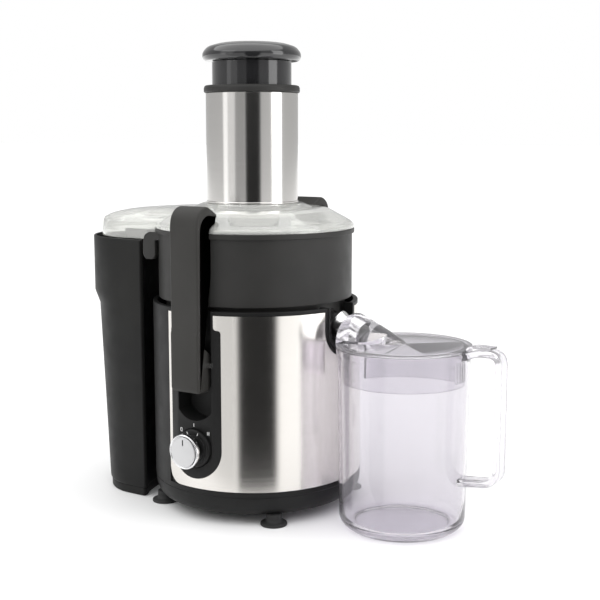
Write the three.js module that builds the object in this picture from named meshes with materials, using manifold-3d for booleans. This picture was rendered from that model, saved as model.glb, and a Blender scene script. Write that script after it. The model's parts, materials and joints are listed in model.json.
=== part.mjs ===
// Centrifugal juicer, as separate pieces: a motor base with a steel wrap, a juice bowl with a spinning
// filter basket, a clear lid with its feed chute and pusher, two locking arms, a speed knob, a pulp
// container and a lidded juice jug.
//
// Units are millimetres, +Z is up and z = 0 is the worktop. The shaft axis is x = y = 0 while the pieces
// are built: the knob faces -Y, the juice spout +X and the pulp container -X. The last lines move the
// whole group so that its origin is the centre of the bounding box's underside.
import * as THREE from "three";
import { mergeVertices } from "three/addons/utils/BufferGeometryUtils.js";
import Module from "manifold-3d";

const wasm = await Module();
wasm.setup();

// ---- Driving dimensions -------------------------------------------------------------------------
const GAP = 0.3; // between pieces that touch
const FINE = 32; // sides of a large round piece
const COARSE = 14; // sides of a small round piece

const base = { r: 94, draw: 5.2, bottom: 10.5, band: 31.4, top: 188.4, wall: 4 }; // draw: taper of its skirt
const deck = { top: base.top - 30.7, thick: 3, hole: 16, collar: 19, collarHigh: 5.3 };

// The bowl sits in the base, and the lid on the bowl.
const bowl = {
  r: base.r - 5.6, rim: base.r - 3.6, skirt: base.r - 12, wall: 3, hub: 26,
  bottom: base.top + 2.8, step: base.top + 60.9, top: base.top + 65.2,
};
const lid = { r: bowl.rim - 0.4, flat: bowl.rim - 24.4, edge: 3.2, top: bowl.top + 18.2, wall: 2.4 };
const basket = {
  foot: bowl.r - 38.4, rim: bowl.r - 9.9, low: bowl.bottom + 7.8, high: bowl.top - 2.6, flange: 4,
};
const grater = { r: basket.foot - 6, thick: 2.4 };
const shaft = { r: 5, low: 36, high: basket.low - 3 };

// The locking arms, the pockets that their feet sit in, and the panels round the pockets.
const arm = {
  half: 15, outer: base.r + 11.5, thick: 6, block: base.r - 7.5, tip: lid.r - 13,
  low: base.top - 69.9, kink: base.top - 19.4, top: lid.top + 5.6,
};
const pocket = {
  half: arm.half + 3, wall: 1.5, deep: base.r - 20, shallow: base.r - 10,
  bottom: base.top - 96.9, corner: base.top - 88.4, step: base.top - 38.4,
};
const pivot = { r: 2.5, out: base.r - 1, z: base.top - 46.4, play: 0.4 };
const panel = {
  half: pocket.half + 8.7, neck: pocket.half + 2, thick: 2,
  bottom: base.band + 8.6, shoulder: base.top - 16.4,
};
// The steel wrap runs from one side panel, past the spout, to the other, and a little beyond each.
const panelEdge = THREE.MathUtils.radToDeg(Math.asin(panel.half / base.r));
const wrap = { thick: 1, end: 90 + panelEdge + 2.5, corner: 14 };
const knob = { z: panel.bottom + 27, bezel: 17.5, proud: 2.4, face: 15.6, long: 16, neck: 9, stem: 4 };
const foot = { at: base.r - 33, stem: 6.8, flange: 11.8, thick: 2.4 };

// The spout and the arched recess that it comes out of.
const spout = {
  r: 9.1, wall: 0.8, tipX: base.r + 19.4, tipZ: base.top - 24.9, slope: 20, length: 41, flare: 12,
};
const arch = { half: spout.r + 12.3, border: 2.6, centre: base.top - 19.8, back: base.r - 11.3 };

// The feed chute is a pipe of the lid; the sleeve, the rim and the pusher follow its bore.
const chute = {
  x: -3, bore: 37.7, wall: 2.5, low: lid.top - 9.8, collar: lid.top + 4.4, top: lid.top + 101.8,
};
const sleeve = { thick: 1, spread: 0.5, ring: chute.bore + 5.5, ringHigh: 6.5 };
const pusher = {
  r: chute.bore - 2.1, wall: 2.5, low: bowl.top - 20.6,
  neck: chute.top + 28, cap: chute.bore + 6.5, capHigh: 17,
};

// Motor: heights of its core, and radii of what turns and stands in it.
const motor = { rotor: 24, stator: 46, air: 2.5, low: 70, high: 118, plate: 3.7, hub: 13, posts: 38 };
const bearing = { r: 10.8, high: 8 };
const fan = { r: 36, low: 40, high: 50, blades: 9 };
const armSwitch = { half: 9, deep: 7, low: pivot.z - 18, high: pivot.z - 2 };

// The pulp container hangs beside the base, under the hood of the lid and the bowl's tray.
const bin = {
  half: 64, wall: 2.5, inner: base.r + 9.2, centre: -base.r - 18, rim: bowl.top - 11.3,
  collar: bowl.top - 64.1, waist: bowl.top - 75.6,
};
const binTaper = { waist: 0.921, foot: 0.8, base: 8, inset: 1.2, pivotX: 13 - base.r };
const tray = { half: bin.half - 14, end: -bin.inner - 8.8, wall: 2.5, height: 8 };
const dome = {
  half: bin.half - 5.5, centre: bin.centre + 4, end: bin.centre - bin.half + 9, bottom: bin.rim + 0.5,
  high: lid.top - 2.3,
};
// Each hook stands just inside the container's near corner and reaches back to the bowl's wall.
const binCorner = Math.sqrt(bin.inner ** 2 - bin.half ** 2);
const hook = {
  out: binCorner - 2.46, wide: 14.5, y0: bin.half - 3, y1: bin.half + 2,
  low: bowl.step - 23.8, bridge: bowl.step - 6.3, high: bowl.step + 1,
};

// The jug stands in front of the spout, and its lid covers the spout's tip.
const jug = { r: 57.1, lip: 1.1, draw: 2.4, gap: 2.3, top: spout.tipZ - 5.5, wall: 2.4, corner: 17 };
jug.rim = jug.r + jug.lip;
jug.foot = jug.r - jug.draw;
jug.x = base.r + jug.rim + jug.gap;
const beak = { reach: 6.8, half: 11, lip: jug.top - 4, deep: 30, notch: 9 };
const handle = { reach: jug.r + 35.4, wide: 16, thick: 6, high: jug.top + 5, low: 46, corner: 15 };
const cover = {
  thick: 2, skirt: 30, slots: 4, rise: 22, back: base.r + 11, front: spout.tipX + 45.6, half: 31,
};

const rad = THREE.MathUtils.degToRad;

// ---- Ways to make a solid -----------------------------------------------------------------------

// A closed three.js geometry, placed by an optional matrix, as a solid that can be joined and cut.
function solid(geometry, at) {
  const bare = geometry.clone();
  bare.deleteAttribute("normal");
  bare.deleteAttribute("uv");
  if (at) bare.applyMatrix4(at);
  const merged = mergeVertices(bare, 1e-4);
  return new wasm.Manifold(
    new wasm.Mesh({
      numProp: 3,
      vertProperties: merged.attributes.position.array,
      triVerts: new Uint32Array(merged.index.array),
    }),
  );
}

// Turned about Z from a closed outline of [radius, height] pairs. An outline on the axis starts and ends
// there.
function turned(outline, sides = FINE, at) {
  const area = outline.reduce((sum, [r, z], i) => {
    const [r2, z2] = outline[(i + 1) % outline.length];
    return sum + r * z2 - r2 * z;
  }, 0);
  const ordered = area > 0 ? outline : [...outline].reverse();
  const points = ordered.map(([r, z]) => new THREE.Vector2(r, z));
  if (points[0].x > 0) points.push(points[0].clone());
  return solid(new THREE.LatheGeometry(points, sides).rotateX(Math.PI / 2), at);
}

const tube = (inner, outer, low, high, sides = FINE, at) =>
  turned([[outer, low], [outer, high], [inner, high], [inner, low]], sides, at);
const rod = (r, low, high, sides = COARSE, at) =>
  turned([[0, low], [r, low], [r, high], [0, high]], sides, at);

function block(x0, x1, y0, y1, z0, z1, at) {
  const box = new THREE.BoxGeometry(x1 - x0, y1 - y0, z1 - z0);
  return solid(box.translate((x0 + x1) / 2, (y0 + y1) / 2, (z0 + z1) / 2), at);
}

function prism(shape, low, high, at, curveSegments = 7) {
  const options = { depth: high - low, bevelEnabled: false, curveSegments };
  const geometry = new THREE.ExtrudeGeometry(shape, options);
  return solid(geometry.translate(0, 0, low), at);
}

function polygon(points) {
  return new THREE.Shape(points.map(([x, y]) => new THREE.Vector2(x, y)));
}

// Part of a ring between two angles in degrees.
function sector(inner, outer, from, to, low, high) {
  const shape = new THREE.Shape();
  shape.absarc(0, 0, outer, rad(from), rad(to), false);
  shape.absarc(0, 0, inner, rad(to), rad(from), true);
  shape.closePath();
  return prism(shape, low, high, undefined, Math.round((FINE * Math.abs(to - from)) / 360));
}

const cut = (body, ...tools) => tools.reduce((left, tool) => left.subtract(tool), body);
const join = (...bodies) => bodies.reduce((whole, body) => whole.add(body));
const shift = (x, y, z) => new THREE.Matrix4().makeTranslation(x, y, z);

// Local x, y, z of a piece on the base's side become across, up and outwards at an angle about the shaft.
function facing(degrees) {
  const spin = new THREE.Matrix4().makeRotationZ(rad(degrees + 90));
  return spin.multiply(new THREE.Matrix4().makeRotationX(Math.PI / 2));
}

// A profile drawn as [outwards, up] is carried across the piece by its extrusion.
function sideways(degrees) {
  const spin = new THREE.Matrix4().makeRotationZ(rad(degrees + 90));
  const turn = new THREE.Matrix4().makeBasis(
    new THREE.Vector3(0, -1, 0), new THREE.Vector3(0, 0, 1), new THREE.Vector3(-1, 0, 0),
  );
  return spin.multiply(turn);
}

const FRONT = -90;
const REAR = 90;
const SPOUT = 0;
const group = new THREE.Group();

// Names the solid and gives it its finish.
function piece(name, body, color, roughness, metalness = 0) {
  const { vertProperties, triVerts } = body.getMesh();
  const geometry = new THREE.BufferGeometry();
  geometry.setAttribute("position", new THREE.BufferAttribute(vertProperties, 3));
  geometry.setIndex(new THREE.BufferAttribute(triVerts, 1));
  const mesh = new THREE.Mesh(geometry, new THREE.MeshStandardMaterial({ color, roughness, metalness }));
  mesh.name = name;
  group.add(mesh);
  return mesh;
}

const DARK = 0x3a3a3c;
const BLACK = 0x1b1b1d;
const CLEAR = 0xdfe3dc;
const STEEL = 0xc9c7c4;

// ---- Outlines shared by neighbours --------------------------------------------------------------

// The dark panel: a U with a half-round foot, rounded shoulders and a neck up to the top edge.
function panelOutline(grow) {
  const half = panel.half + grow;
  const neck = panel.neck + grow;
  const centre = panel.bottom + panel.half;
  const round = half - neck - 0.6;
  const shape = new THREE.Shape();
  shape.moveTo(-neck, base.top + 1);
  shape.lineTo(-neck, panel.shoulder + grow);
  shape.lineTo(-half + round, panel.shoulder + grow);
  shape.absarc(-half + round, panel.shoulder + grow - round, round, Math.PI / 2, Math.PI, false);
  shape.lineTo(-half, centre);
  shape.absarc(0, centre, half, Math.PI, 2 * Math.PI, false);
  shape.lineTo(half, panel.shoulder + grow - round);
  shape.absarc(half - round, panel.shoulder + grow - round, round, 0, Math.PI / 2, false);
  shape.lineTo(neck, panel.shoulder + grow);
  shape.lineTo(neck, base.top + 1);
  shape.closePath();
  return shape;
}

// The pocket that the locking arm's foot sits in, with a dished lower edge, between two heights.
function pocketOutline(grow, from, to) {
  const half = pocket.half + grow;
  const sag = pocket.corner - pocket.bottom;
  const round = (pocket.half ** 2 + sag ** 2) / (2 * sag) + grow;
  const centre = pocket.bottom + round - grow;
  const edge = Math.asin(half / round);
  const shape = new THREE.Shape();
  shape.moveTo(half, to);
  shape.lineTo(-half, to);
  if (from > pocket.corner) {
    shape.lineTo(-half, from);
    shape.lineTo(half, from);
  } else {
    shape.absarc(0, centre, round, -Math.PI / 2 - edge, -Math.PI / 2 + edge, false);
  }
  shape.closePath();
  return shape;
}

// Everything inside the pocket's wall when grow is 0, or the wall's outside when grow is its thickness.
function pocketSpace(grow, angle, top) {
  const lower = prism(
    pocketOutline(grow, 0, pocket.step + grow), pocket.deep - grow, base.r + 2, facing(angle),
  );
  const upper = prism(
    pocketOutline(grow, pocket.step - 4, top), pocket.shallow - grow, base.r + 2, facing(angle),
  );
  return join(lower, upper);
}

// The arched opening that the juice spout comes through.
function archSpace(grow, from, to) {
  const half = arch.half + grow;
  const shape = new THREE.Shape();
  shape.moveTo(-half, base.top + 1);
  shape.lineTo(-half, arch.centre);
  shape.absarc(0, arch.centre, half, Math.PI, 2 * Math.PI, false);
  shape.lineTo(half, base.top + 1);
  shape.closePath();
  return prism(shape, from, to, facing(SPOUT), 10);
}

// Outside of the base below its straight wall, grown by a clearance.
const lowerSkin = (grow) => [
  [base.r - base.draw + grow, base.bottom - grow],
  [base.r - 0.44 * base.draw + grow, base.bottom + 4],
  [base.r - 0.12 * base.draw + grow, base.bottom + 10],
  [base.r + grow, base.band],
];
const coverRim = base.r - base.draw - 2.8; // where the bottom cover meets the skirt

// A cut through the base's wall at an angle, for an outline drawn as [across, up].
const wallInside = base.r - 14;
const throughWall = (shape, angle) => prism(shape, wallInside, base.r + 3, facing(angle));

// Local z points outwards along the knob's axis, or along the cord gland's on the other side.
const knobPlace = (angle) => facing(angle).multiply(shift(0, knob.z, 0));
const gland = { r: 8.5, bore: 3.6, collar: 11, long: 12 };

// ---- Motor base ---------------------------------------------------------------------------------

const screwAngles = [0, 90, 180, 270].map((a) => a + 20);
const screwRing = base.r - 15;

function motorHousing() {
  const inner = base.r - base.wall;
  const under = deck.top - deck.thick;
  let body = turned([
    ...lowerSkin(0),
    [base.r, base.top],
    [inner - 0.4, base.top],
    [inner - 0.4, deck.top],
    [deck.collar, deck.top],
    [deck.collar, deck.top + deck.collarHigh],
    [deck.hole, deck.top + deck.collarHigh],
    [deck.hole, under],
    [inner, under],
    [inner, base.band],
    [coverRim, base.bottom + 3],
    [coverRim, base.bottom],
  ]);
  for (const angle of screwAngles) {
    const at = new THREE.Matrix4().makeRotationZ(rad(angle));
    const low = base.bottom + 3 + GAP;
    const boss = block(screwRing - 4.5, inner + 1, -4.5, 4.5, low, low + 16, at);
    const hole = rod(1.8, low - 1, low + 11, 8, at.clone().multiply(shift(screwRing, 0, 0)));
    body = cut(join(body, boss), hole);
  }
  const behind = base.r - wrap.thick - GAP;
  const recess = sector(behind, base.r + 2, -wrap.end - 0.3, wrap.end + 0.3, base.band - GAP, base.top + 1);
  const seat = tube(base.r - panel.thick - GAP, base.r + 2, base.bottom, base.top + 1);
  const seats = [FRONT, REAR].map((angle) => seat.intersect(throughWall(panelOutline(GAP), angle)));
  const pockets = [FRONT, REAR].map((angle) => pocketSpace(pocket.wall + GAP, angle, base.top + 1));
  const panelHole = rod(knob.bezel + 2, wallInside, base.r + 2, COARSE, knobPlace(FRONT));
  const glandHole = rod(gland.r + 0.5, wallInside, base.r + 2, COARSE, knobPlace(REAR));
  const archRoom = archSpace(GAP, arch.back - GAP, base.r + 2);
  return cut(body, recess, ...seats, ...pockets, panelHole, glandHole, archRoom);
}

function steelWrap() {
  const inner = base.r - wrap.thick;
  const sheet = sector(inner, base.r, -wrap.end, wrap.end, base.band, base.top);
  // Each lower corner is rounded by a square whose inner corner has a quarter circle taken out.
  const corners = [-1, 1].map((side) => {
    const span = wrap.corner;
    const shape = new THREE.Shape();
    shape.moveTo(-1 * side, -1);
    shape.lineTo(span * side, -1);
    shape.lineTo(span * side, 0);
    shape.absarc(span * side, span, span, -Math.PI / 2, side > 0 ? -Math.PI : 0, side > 0);
    shape.lineTo(-1 * side, span);
    shape.closePath();
    const at = facing(side * -wrap.end).multiply(shift(0, base.band, 0));
    return prism(shape, inner - 8, base.r + 8, at);
  });
  const panels = [FRONT, REAR].map((angle) => throughWall(panelOutline(0.2), angle));
  return cut(sheet, ...corners, ...panels, archSpace(0.2, wallInside, base.r + 3));
}

// The moulded panel with its pocket; hole is the radius of what passes through it at the knob's height.
function sidePanel(angle, hole) {
  const skin = tube(base.r - panel.thick, base.r, base.bottom, base.top).intersect(
    throughWall(panelOutline(0), angle),
  );
  const round = rod(base.r, 0, base.top, FINE);
  const pocketShell = pocketSpace(pocket.wall, angle, base.top - 0.4).intersect(round);
  const pins = rod(pivot.r + GAP, -pocket.half - 4, pocket.half + 4, 10, pinPlace(angle));
  const through = rod(hole + GAP, wallInside, base.r + 2, COARSE, knobPlace(angle));
  return cut(join(skin, pocketShell), pocketSpace(0, angle, base.top + 2), pins, through);
}

function spoutTrim() {
  const throat = archSpace(-arch.border, arch.back - 1, base.r + 2);
  const frame = cut(archSpace(0, arch.back, base.r + 0.5), throat);
  const back = archSpace(0, arch.back, arch.back + 1.8);
  const low = block(0, base.r, -40, 40, deck.top - 60, deck.top - GAP);
  const trimTop = block(0, base.r + 20, -40, 40, base.top - 0.2, base.top + 5);
  return cut(join(frame, back.intersect(low)), trimTop);
}

function bottomCover() {
  let plate = rod(coverRim - GAP, base.bottom, base.bottom + 3, FINE);
  for (const angle of screwAngles) {
    const at = new THREE.Matrix4().makeRotationZ(rad(angle)).multiply(shift(screwRing, 0, 0));
    plate = cut(plate, rod(1.8, base.bottom - 1, base.bottom + 4, 8, at));
  }
  // Air slots under the fan.
  for (const y of [-24, -12, 0, 12, 24]) plate = cut(plate, block(-22, 22, y - 2, y + 2, 0, base.bottom + 5));
  return plate;
}

function footBody(x, y) {
  const at = shift(x, y, 0);
  const stem = rod(foot.stem, 0, base.bottom + 10, COARSE, at);
  const flange = rod(foot.flange, 0, foot.thick, COARSE, at);
  const skin = lowerSkin(GAP);
  return cut(join(stem, flange), turned([[0, skin[0][1]], ...skin, [0, base.band]]));
}

function coverScrew(angle) {
  const at = new THREE.Matrix4().makeRotationZ(rad(angle)).multiply(shift(screwRing, 0, 0));
  const low = base.bottom - GAP;
  return turned([
    [0, low - 1.8], [3.2, low - 1.8], [3.2, low], [1.5, low], [1.5, low + 10], [0, low + 10],
  ], 8, at);
}

// ---- Motor --------------------------------------------------------------------------------------

// An end plate with a hub that holds a bearing; the hub points up when up is 1 and down when it is -1.
function motorBracket(up) {
  const near = up > 0 ? motor.high + GAP : motor.low - GAP;
  const far = near + up * motor.plate;
  const end = near + up * (motor.plate + bearing.high + 1);
  const seat = end - up * (bearing.high + GAP);
  return turned([
    [shaft.r + 1.5, near], [motor.stator, near], [motor.stator, far], [motor.hub, far], [motor.hub, end],
    [bearing.r + GAP, end], [bearing.r + GAP, seat], [shaft.r + 1.5, seat],
  ]);
}

function bearingRing(up) {
  const near = up > 0 ? motor.high + GAP : motor.low - GAP;
  const end = near + up * (motor.plate + bearing.high + 1);
  const [low, high] = up > 0 ? [end - bearing.high, end] : [end, end + bearing.high];
  return tube(shaft.r + GAP, bearing.r, low, high, COARSE);
}

function motorPost(angle) {
  const at = new THREE.Matrix4().makeRotationZ(rad(angle)).multiply(shift(motor.posts, 0, 0));
  return rod(5, motor.high + motor.plate + 2 * GAP, deck.top - deck.thick - GAP, 10, at);
}

const motorStator = () => tube(motor.rotor + motor.air, motor.stator, motor.low, motor.high, COARSE);

const motorShaft = () => rod(shaft.r, shaft.low, shaft.high, COARSE);

function rotorCore() {
  const inner = shaft.r + GAP;
  let core = tube(inner, motor.rotor, motor.low + 4, motor.high - 4, COARSE);
  for (let k = 0; k < 12; k += 1) {
    const at = new THREE.Matrix4().makeRotationZ(rad(k * 30));
    core = cut(core, block(motor.rotor - 3, motor.rotor + 1, -1.2, 1.2, 0, deck.top, at));
  }
  return core;
}

function coolingFan() {
  let wheel = join(
    tube(shaft.r + GAP, 12, fan.low, fan.high, COARSE),
    tube(shaft.r + GAP, fan.r, fan.high - 1.5, fan.high, COARSE),
  );
  for (let k = 0; k < fan.blades; k += 1) {
    const at = new THREE.Matrix4().makeRotationZ(rad((k * 360) / fan.blades));
    wheel = join(wheel, block(11, fan.r - 1, -0.8, 0.8, fan.low, fan.high - 1, at));
  }
  return wheel;
}

// The toothed coupling on top of the shaft, which the basket drops on to.
function driveCoupling() {
  const low = deck.top + deck.collarHigh + 1.5;
  const high = basket.low - GAP;
  let hub = turned([
    [shaft.r + GAP, low], [14, low], [14, high], [0, high],
    [0, shaft.high + GAP], [shaft.r + GAP, shaft.high + GAP],
  ], COARSE);
  for (let k = 0; k < 6; k += 1) {
    const at = new THREE.Matrix4().makeRotationZ(rad(k * 60));
    hub = join(hub, block(12, 16.5, -1.6, 1.6, low + 8, high, at));
  }
  return hub;
}

// ---- Bowl, basket, spout ------------------------------------------------------------------------

// How far out the bowl's wall is at a distance to one side of its middle.
const wallAt = (side) => Math.sqrt(bowl.r ** 2 - side ** 2);

function juiceBowl() {
  const floor = deck.top + GAP;
  const inside = bowl.r - bowl.wall;
  const skirtIn = bowl.skirt - 2.5;
  let body = turned([
    [bowl.skirt, floor],
    [bowl.skirt, bowl.bottom],
    [bowl.r, bowl.bottom],
    [bowl.r, bowl.step],
    [bowl.rim, bowl.step],
    [bowl.rim, bowl.top],
    [bowl.rim - 3.2, bowl.top],
    [inside, bowl.step],
    [inside, bowl.bottom + 4.5],
    [skirtIn, bowl.bottom + 2.5],
    [skirtIn, floor + 2.5],
    [bowl.hub, floor + 5],
    [bowl.hub, floor + 28],
    [bowl.hub - 2.5, floor + 28],
    [bowl.hub - 2.5, floor],
  ]);
  // The way out for pulp, over the wall on the container's side and along a tray.
  const lip = bin.rim + 0.5;
  const room = tray.half - tray.wall;
  const within = 12.9 - wallAt(tray.half);
  const notch = block(-bowl.rim - 10, within, -room, room, lip + tray.wall, bowl.top + 1);
  const shelf = block(tray.end, 0.9 - wallAt(tray.half), -tray.half, tray.half, lip, lip + tray.height);
  const channel = block(tray.end - 1, within, -room, room, lip + tray.wall, bowl.top + 1);
  const keep = rod(inside, 0, bowl.top + 1, FINE);
  body = cut(join(cut(body, notch), cut(shelf, channel, keep)));
  for (const side of [-1, 1]) {
    const [y0, y1] = side < 0 ? [-hook.y1, -hook.y0] : [hook.y0, hook.y1];
    const x0 = -hook.out;
    const x1 = x0 + hook.wide;
    const root = 1.8 - wallAt(hook.y1);
    const tab = polygon([
      [x0, hook.low + 4], [x0 + 3, hook.low], [x1 - 3, hook.low], [x1, hook.low + 4],
      [x1, hook.bridge], [root, hook.bridge], [root, hook.high], [x0 + 7, hook.high],
      [x0 + 2, hook.high - 3], [x0, hook.high - 9],
    ]);
    const upright = prism(tab, -y1, -y0, new THREE.Matrix4().makeRotationX(Math.PI / 2));
    body = join(body, cut(upright, keep));
  }
  const outlet = rod(spout.r + GAP, -spout.length - 4, 0, COARSE, spoutPlace());
  return cut(body, outlet);
}

// Local z runs down the spout to its tip.
function spoutPlace() {
  const turn = new THREE.Matrix4().makeRotationY(rad(90 + spout.slope));
  return shift(spout.tipX, 0, spout.tipZ).multiply(turn);
}

function spoutTube() {
  const inside = spout.r - spout.wall;
  return turned([
    [spout.r, 0], [inside, 0], [inside, -spout.length], [spout.r, -spout.length],
    [spout.r, -28], [spout.flare, -26], [spout.flare, -24.5], [spout.r, -18],
  ], COARSE, spoutPlace());
}

function filterBasket() {
  const cone = basket.high - basket.flange;
  return turned([
    [22, basket.low], [basket.foot, basket.low], [basket.rim - 4, cone], [basket.rim, cone + 1],
    [basket.rim, basket.high], [basket.rim - 6, basket.high], [basket.foot - 1, basket.low + 2],
    [22, basket.low + 2],
  ]);
}

function graterDisc() {
  const low = basket.low + 2 + GAP;
  let disc = turned([
    [0, basket.low + GAP], [20, basket.low + GAP], [20, low], [grater.r, low], [grater.r, low + grater.thick],
    [8, low + grater.thick], [0, low + grater.thick + 2],
  ], COARSE);
  // Three rings of low cutting teeth, from near the hub to just inside the edge.
  const first = 16;
  const long = 4;
  const step = (grater.r - 2 * long - first) / 2;
  for (let k = 0; k < 18; k += 1) {
    const at = new THREE.Matrix4().makeRotationZ(rad(k * 20));
    const r = first + (k % 3) * step;
    disc = join(disc, block(r, r + long, -0.7, 0.7, low + 1, low + grater.thick + 1.4, at));
  }
  return disc;
}

// ---- Lid and feed chute -------------------------------------------------------------------------

// The clear cap over the basket and the hood over the pulp container, shrunk by a wall for its inside.
function lidForm(wall, low) {
  const slope = Math.hypot(lid.r - lid.flat, lid.top - bowl.top - lid.edge);
  const drop = (wall * slope) / (lid.r - lid.flat);
  const cap = turned([
    [0, low], [lid.r - wall, low], [lid.r - wall, bowl.top + GAP + lid.edge - wall * 0.5],
    [lid.flat - wall * 0.3, lid.top - drop * 0.85], [0, lid.top - drop * 0.85],
  ]);
  const plan = new THREE.Shape();
  plan.moveTo(-30, -dome.half + wall);
  plan.lineTo(-30, dome.half - wall);
  plan.lineTo(dome.centre, dome.half - wall);
  const long = dome.centre - dome.end - wall;
  plan.absellipse(dome.centre, 0, long, dome.half - wall, Math.PI / 2, 1.5 * Math.PI, false);
  plan.closePath();
  const rise = dome.high - dome.bottom;
  const crown = [[-20, low], [dome.end + wall, low], [dome.end + wall, dome.bottom + rise * 0.25]];
  for (const [along, up] of [[0.04, 0.5], [0.11, 0.7], [0.24, 0.86], [0.5, 0.96], [0.75, 1]]) {
    crown.push([dome.end + wall + along * 120, dome.bottom + rise * up - wall]);
  }
  crown.push([-20, dome.high - wall]);
  const side = prism(polygon(crown), -100, 100, new THREE.Matrix4().makeRotationX(Math.PI / 2));
  return join(cap, prism(plan, low, lid.top + 1, undefined, 10).intersect(side));
}

function clearLid() {
  const at = shift(chute.x, 0, 0);
  const shell = cut(lidForm(0, dome.bottom), lidForm(lid.wall, dome.bottom - 5));
  const outer = chute.bore + chute.wall;
  const collar = rod(outer + 5, lid.top - 4, chute.collar - GAP, FINE, at);
  const pipe = join(rod(outer, chute.low, chute.top, FINE, at), collar);
  const bore = rod(chute.bore, chute.low - 5, chute.top + 5, FINE, at);
  // Nothing of the cap hangs below the bowl's rim except the hood beyond it.
  const bowlRoom = rod(bowl.rim + 0.4, dome.bottom - 6, bowl.top + GAP, FINE);
  return cut(join(shell, pipe), bore, bowlRoom);
}

function chuteSleeve() {
  const inside = chute.bore + chute.wall + GAP;
  const outside = inside + sleeve.thick;
  return turned([
    [inside, chute.collar], [outside + sleeve.spread, chute.collar], [outside, chute.top - 8],
    [outside, chute.top], [inside, chute.top],
  ], FINE, shift(chute.x, 0, 0));
}

function chuteRim() {
  const low = chute.top + GAP;
  return turned([
    [chute.bore + 0.5, low], [sleeve.ring - 1, low], [sleeve.ring, low + 1],
    [sleeve.ring, low + sleeve.ringHigh - 2], [sleeve.ring - 1.5, low + sleeve.ringHigh],
    [chute.bore + 0.5, low + sleeve.ringHigh],
  ], FINE, shift(chute.x, 0, 0));
}

function pusherBody() {
  const inside = pusher.r - pusher.wall;
  return turned([
    [0, pusher.low], [pusher.r - 2, pusher.low], [pusher.r, pusher.low + 2], [pusher.r, pusher.neck],
    [inside, pusher.neck], [inside, pusher.low + pusher.wall], [0, pusher.low + pusher.wall],
  ], FINE, shift(chute.x, 0, 0));
}

function pusherCap() {
  const low = pusher.neck + GAP;
  const high = low + pusher.capHigh;
  const plug = pusher.r - pusher.wall - GAP;
  return turned([
    [0, low - 5], [plug, low - 5], [plug, low], [pusher.cap - 2, low], [pusher.cap, low + 3.5],
    [pusher.cap, low + 7], [pusher.cap - 3.5, high - 5], [pusher.cap - 14, high - 1.2], [0, high],
  ], FINE, shift(chute.x, 0, 0));
}

// ---- Locking arms -------------------------------------------------------------------------------

// Puts a rod made along z across the panel at the arm's pivot.
function pinPlace(angle) {
  return facing(angle)
    .multiply(shift(0, pivot.z, pivot.out))
    .multiply(new THREE.Matrix4().makeRotationY(Math.PI / 2));
}

const armPin = (angle) => rod(pivot.r, -pocket.half - 2, pocket.half + 2, 10, pinPlace(angle));

// From the foot in the pocket, up past the bowl's rim, and over the lid's shoulder as a blunt hook.
function lockingArm(angle) {
  const inner = arm.outer - arm.thick;
  const shape = polygon([
    [arm.outer - 1, arm.low], [arm.outer + 1, arm.low + 3], [arm.outer + 1, arm.kink],
    [arm.outer, arm.kink + 3],
    [arm.outer, arm.top - 16], [arm.outer - 2, arm.top - 8], [arm.outer - 7, arm.top - 2.5],
    [arm.outer - 15, arm.top], [arm.tip + 8, arm.top - 2.8], [arm.tip, arm.top - 7.5],
    [arm.tip, arm.top - 11], [arm.tip + 4, arm.top - 12], [arm.tip + 14, arm.top - 9.5],
    [inner - 2, arm.top - 14], [inner, arm.top - 20],
    [inner, arm.kink + 5], [arm.block + 3, arm.kink - 3], [arm.block, arm.kink - 8], [arm.block, arm.low + 5],
    [arm.block + 4, arm.low],
  ]);
  const bar = prism(shape, -arm.half, arm.half, sideways(angle));
  return cut(bar, rod(pivot.r + pivot.play, -arm.half - 2, arm.half + 2, 10, pinPlace(angle)));
}

// ---- Speed knob ---------------------------------------------------------------------------------

function knobBezel() {
  const front = base.r + knob.proud;
  const hole = knob.stem + 0.4;
  return turned([
    [hole, front - 6], [knob.bezel, front - 6], [knob.bezel, front - 1.4],
    [knob.bezel - 1.4, front], [hole, front],
  ], COARSE, knobPlace(FRONT));
}

function knobBody() {
  const front = base.r + knob.long - 1.2;
  const back = base.r + knob.proud + 0.8;
  return turned([
    [0, base.r - 5.5], [knob.stem, base.r - 5.5], [knob.stem, back],
    [knob.neck, back], [knob.neck + 0.8, back + 4],
    [knob.face - 1, front - 6], [knob.face, front - 4.5], [knob.face, front], [0, front],
  ], COARSE, knobPlace(FRONT));
}

function knobFace() {
  const front = base.r + knob.long;
  return turned([
    [0, front - 1.2 + GAP], [knob.face - 0.6, front - 1.2 + GAP], [knob.face - 1, front], [0, front],
  ], COARSE, knobPlace(FRONT));
}

function rotarySwitch() {
  const front = base.r + knob.proud - 6 - GAP;
  const can = block(-12, 12, -12, 12, front - 16, front, knobPlace(FRONT));
  return cut(can, rod(knob.stem + 0.4, front - 2.5, front + 1, 16, knobPlace(FRONT)));
}

function cordGland() {
  return turned([
    [gland.bore, base.r - 8], [gland.r, base.r - 8], [gland.r, base.r + 0.6], [gland.collar, base.r + 0.6],
    [gland.collar, base.r + 3], [gland.r - 2, base.r + 5], [gland.r - 3, base.r + gland.long],
    [gland.bore, base.r + gland.long],
  ], COARSE, knobPlace(REAR));
}

// The switch that the arm's foot closes when it is locked, at the back of each pocket.
function switchBody(angle) {
  const back = pocket.deep - pocket.wall - GAP;
  const { half, deep, low, high } = armSwitch;
  return block(-half, half, low, high, back - deep, back, facing(angle));
}

// ---- Pulp container -----------------------------------------------------------------------------

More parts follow.
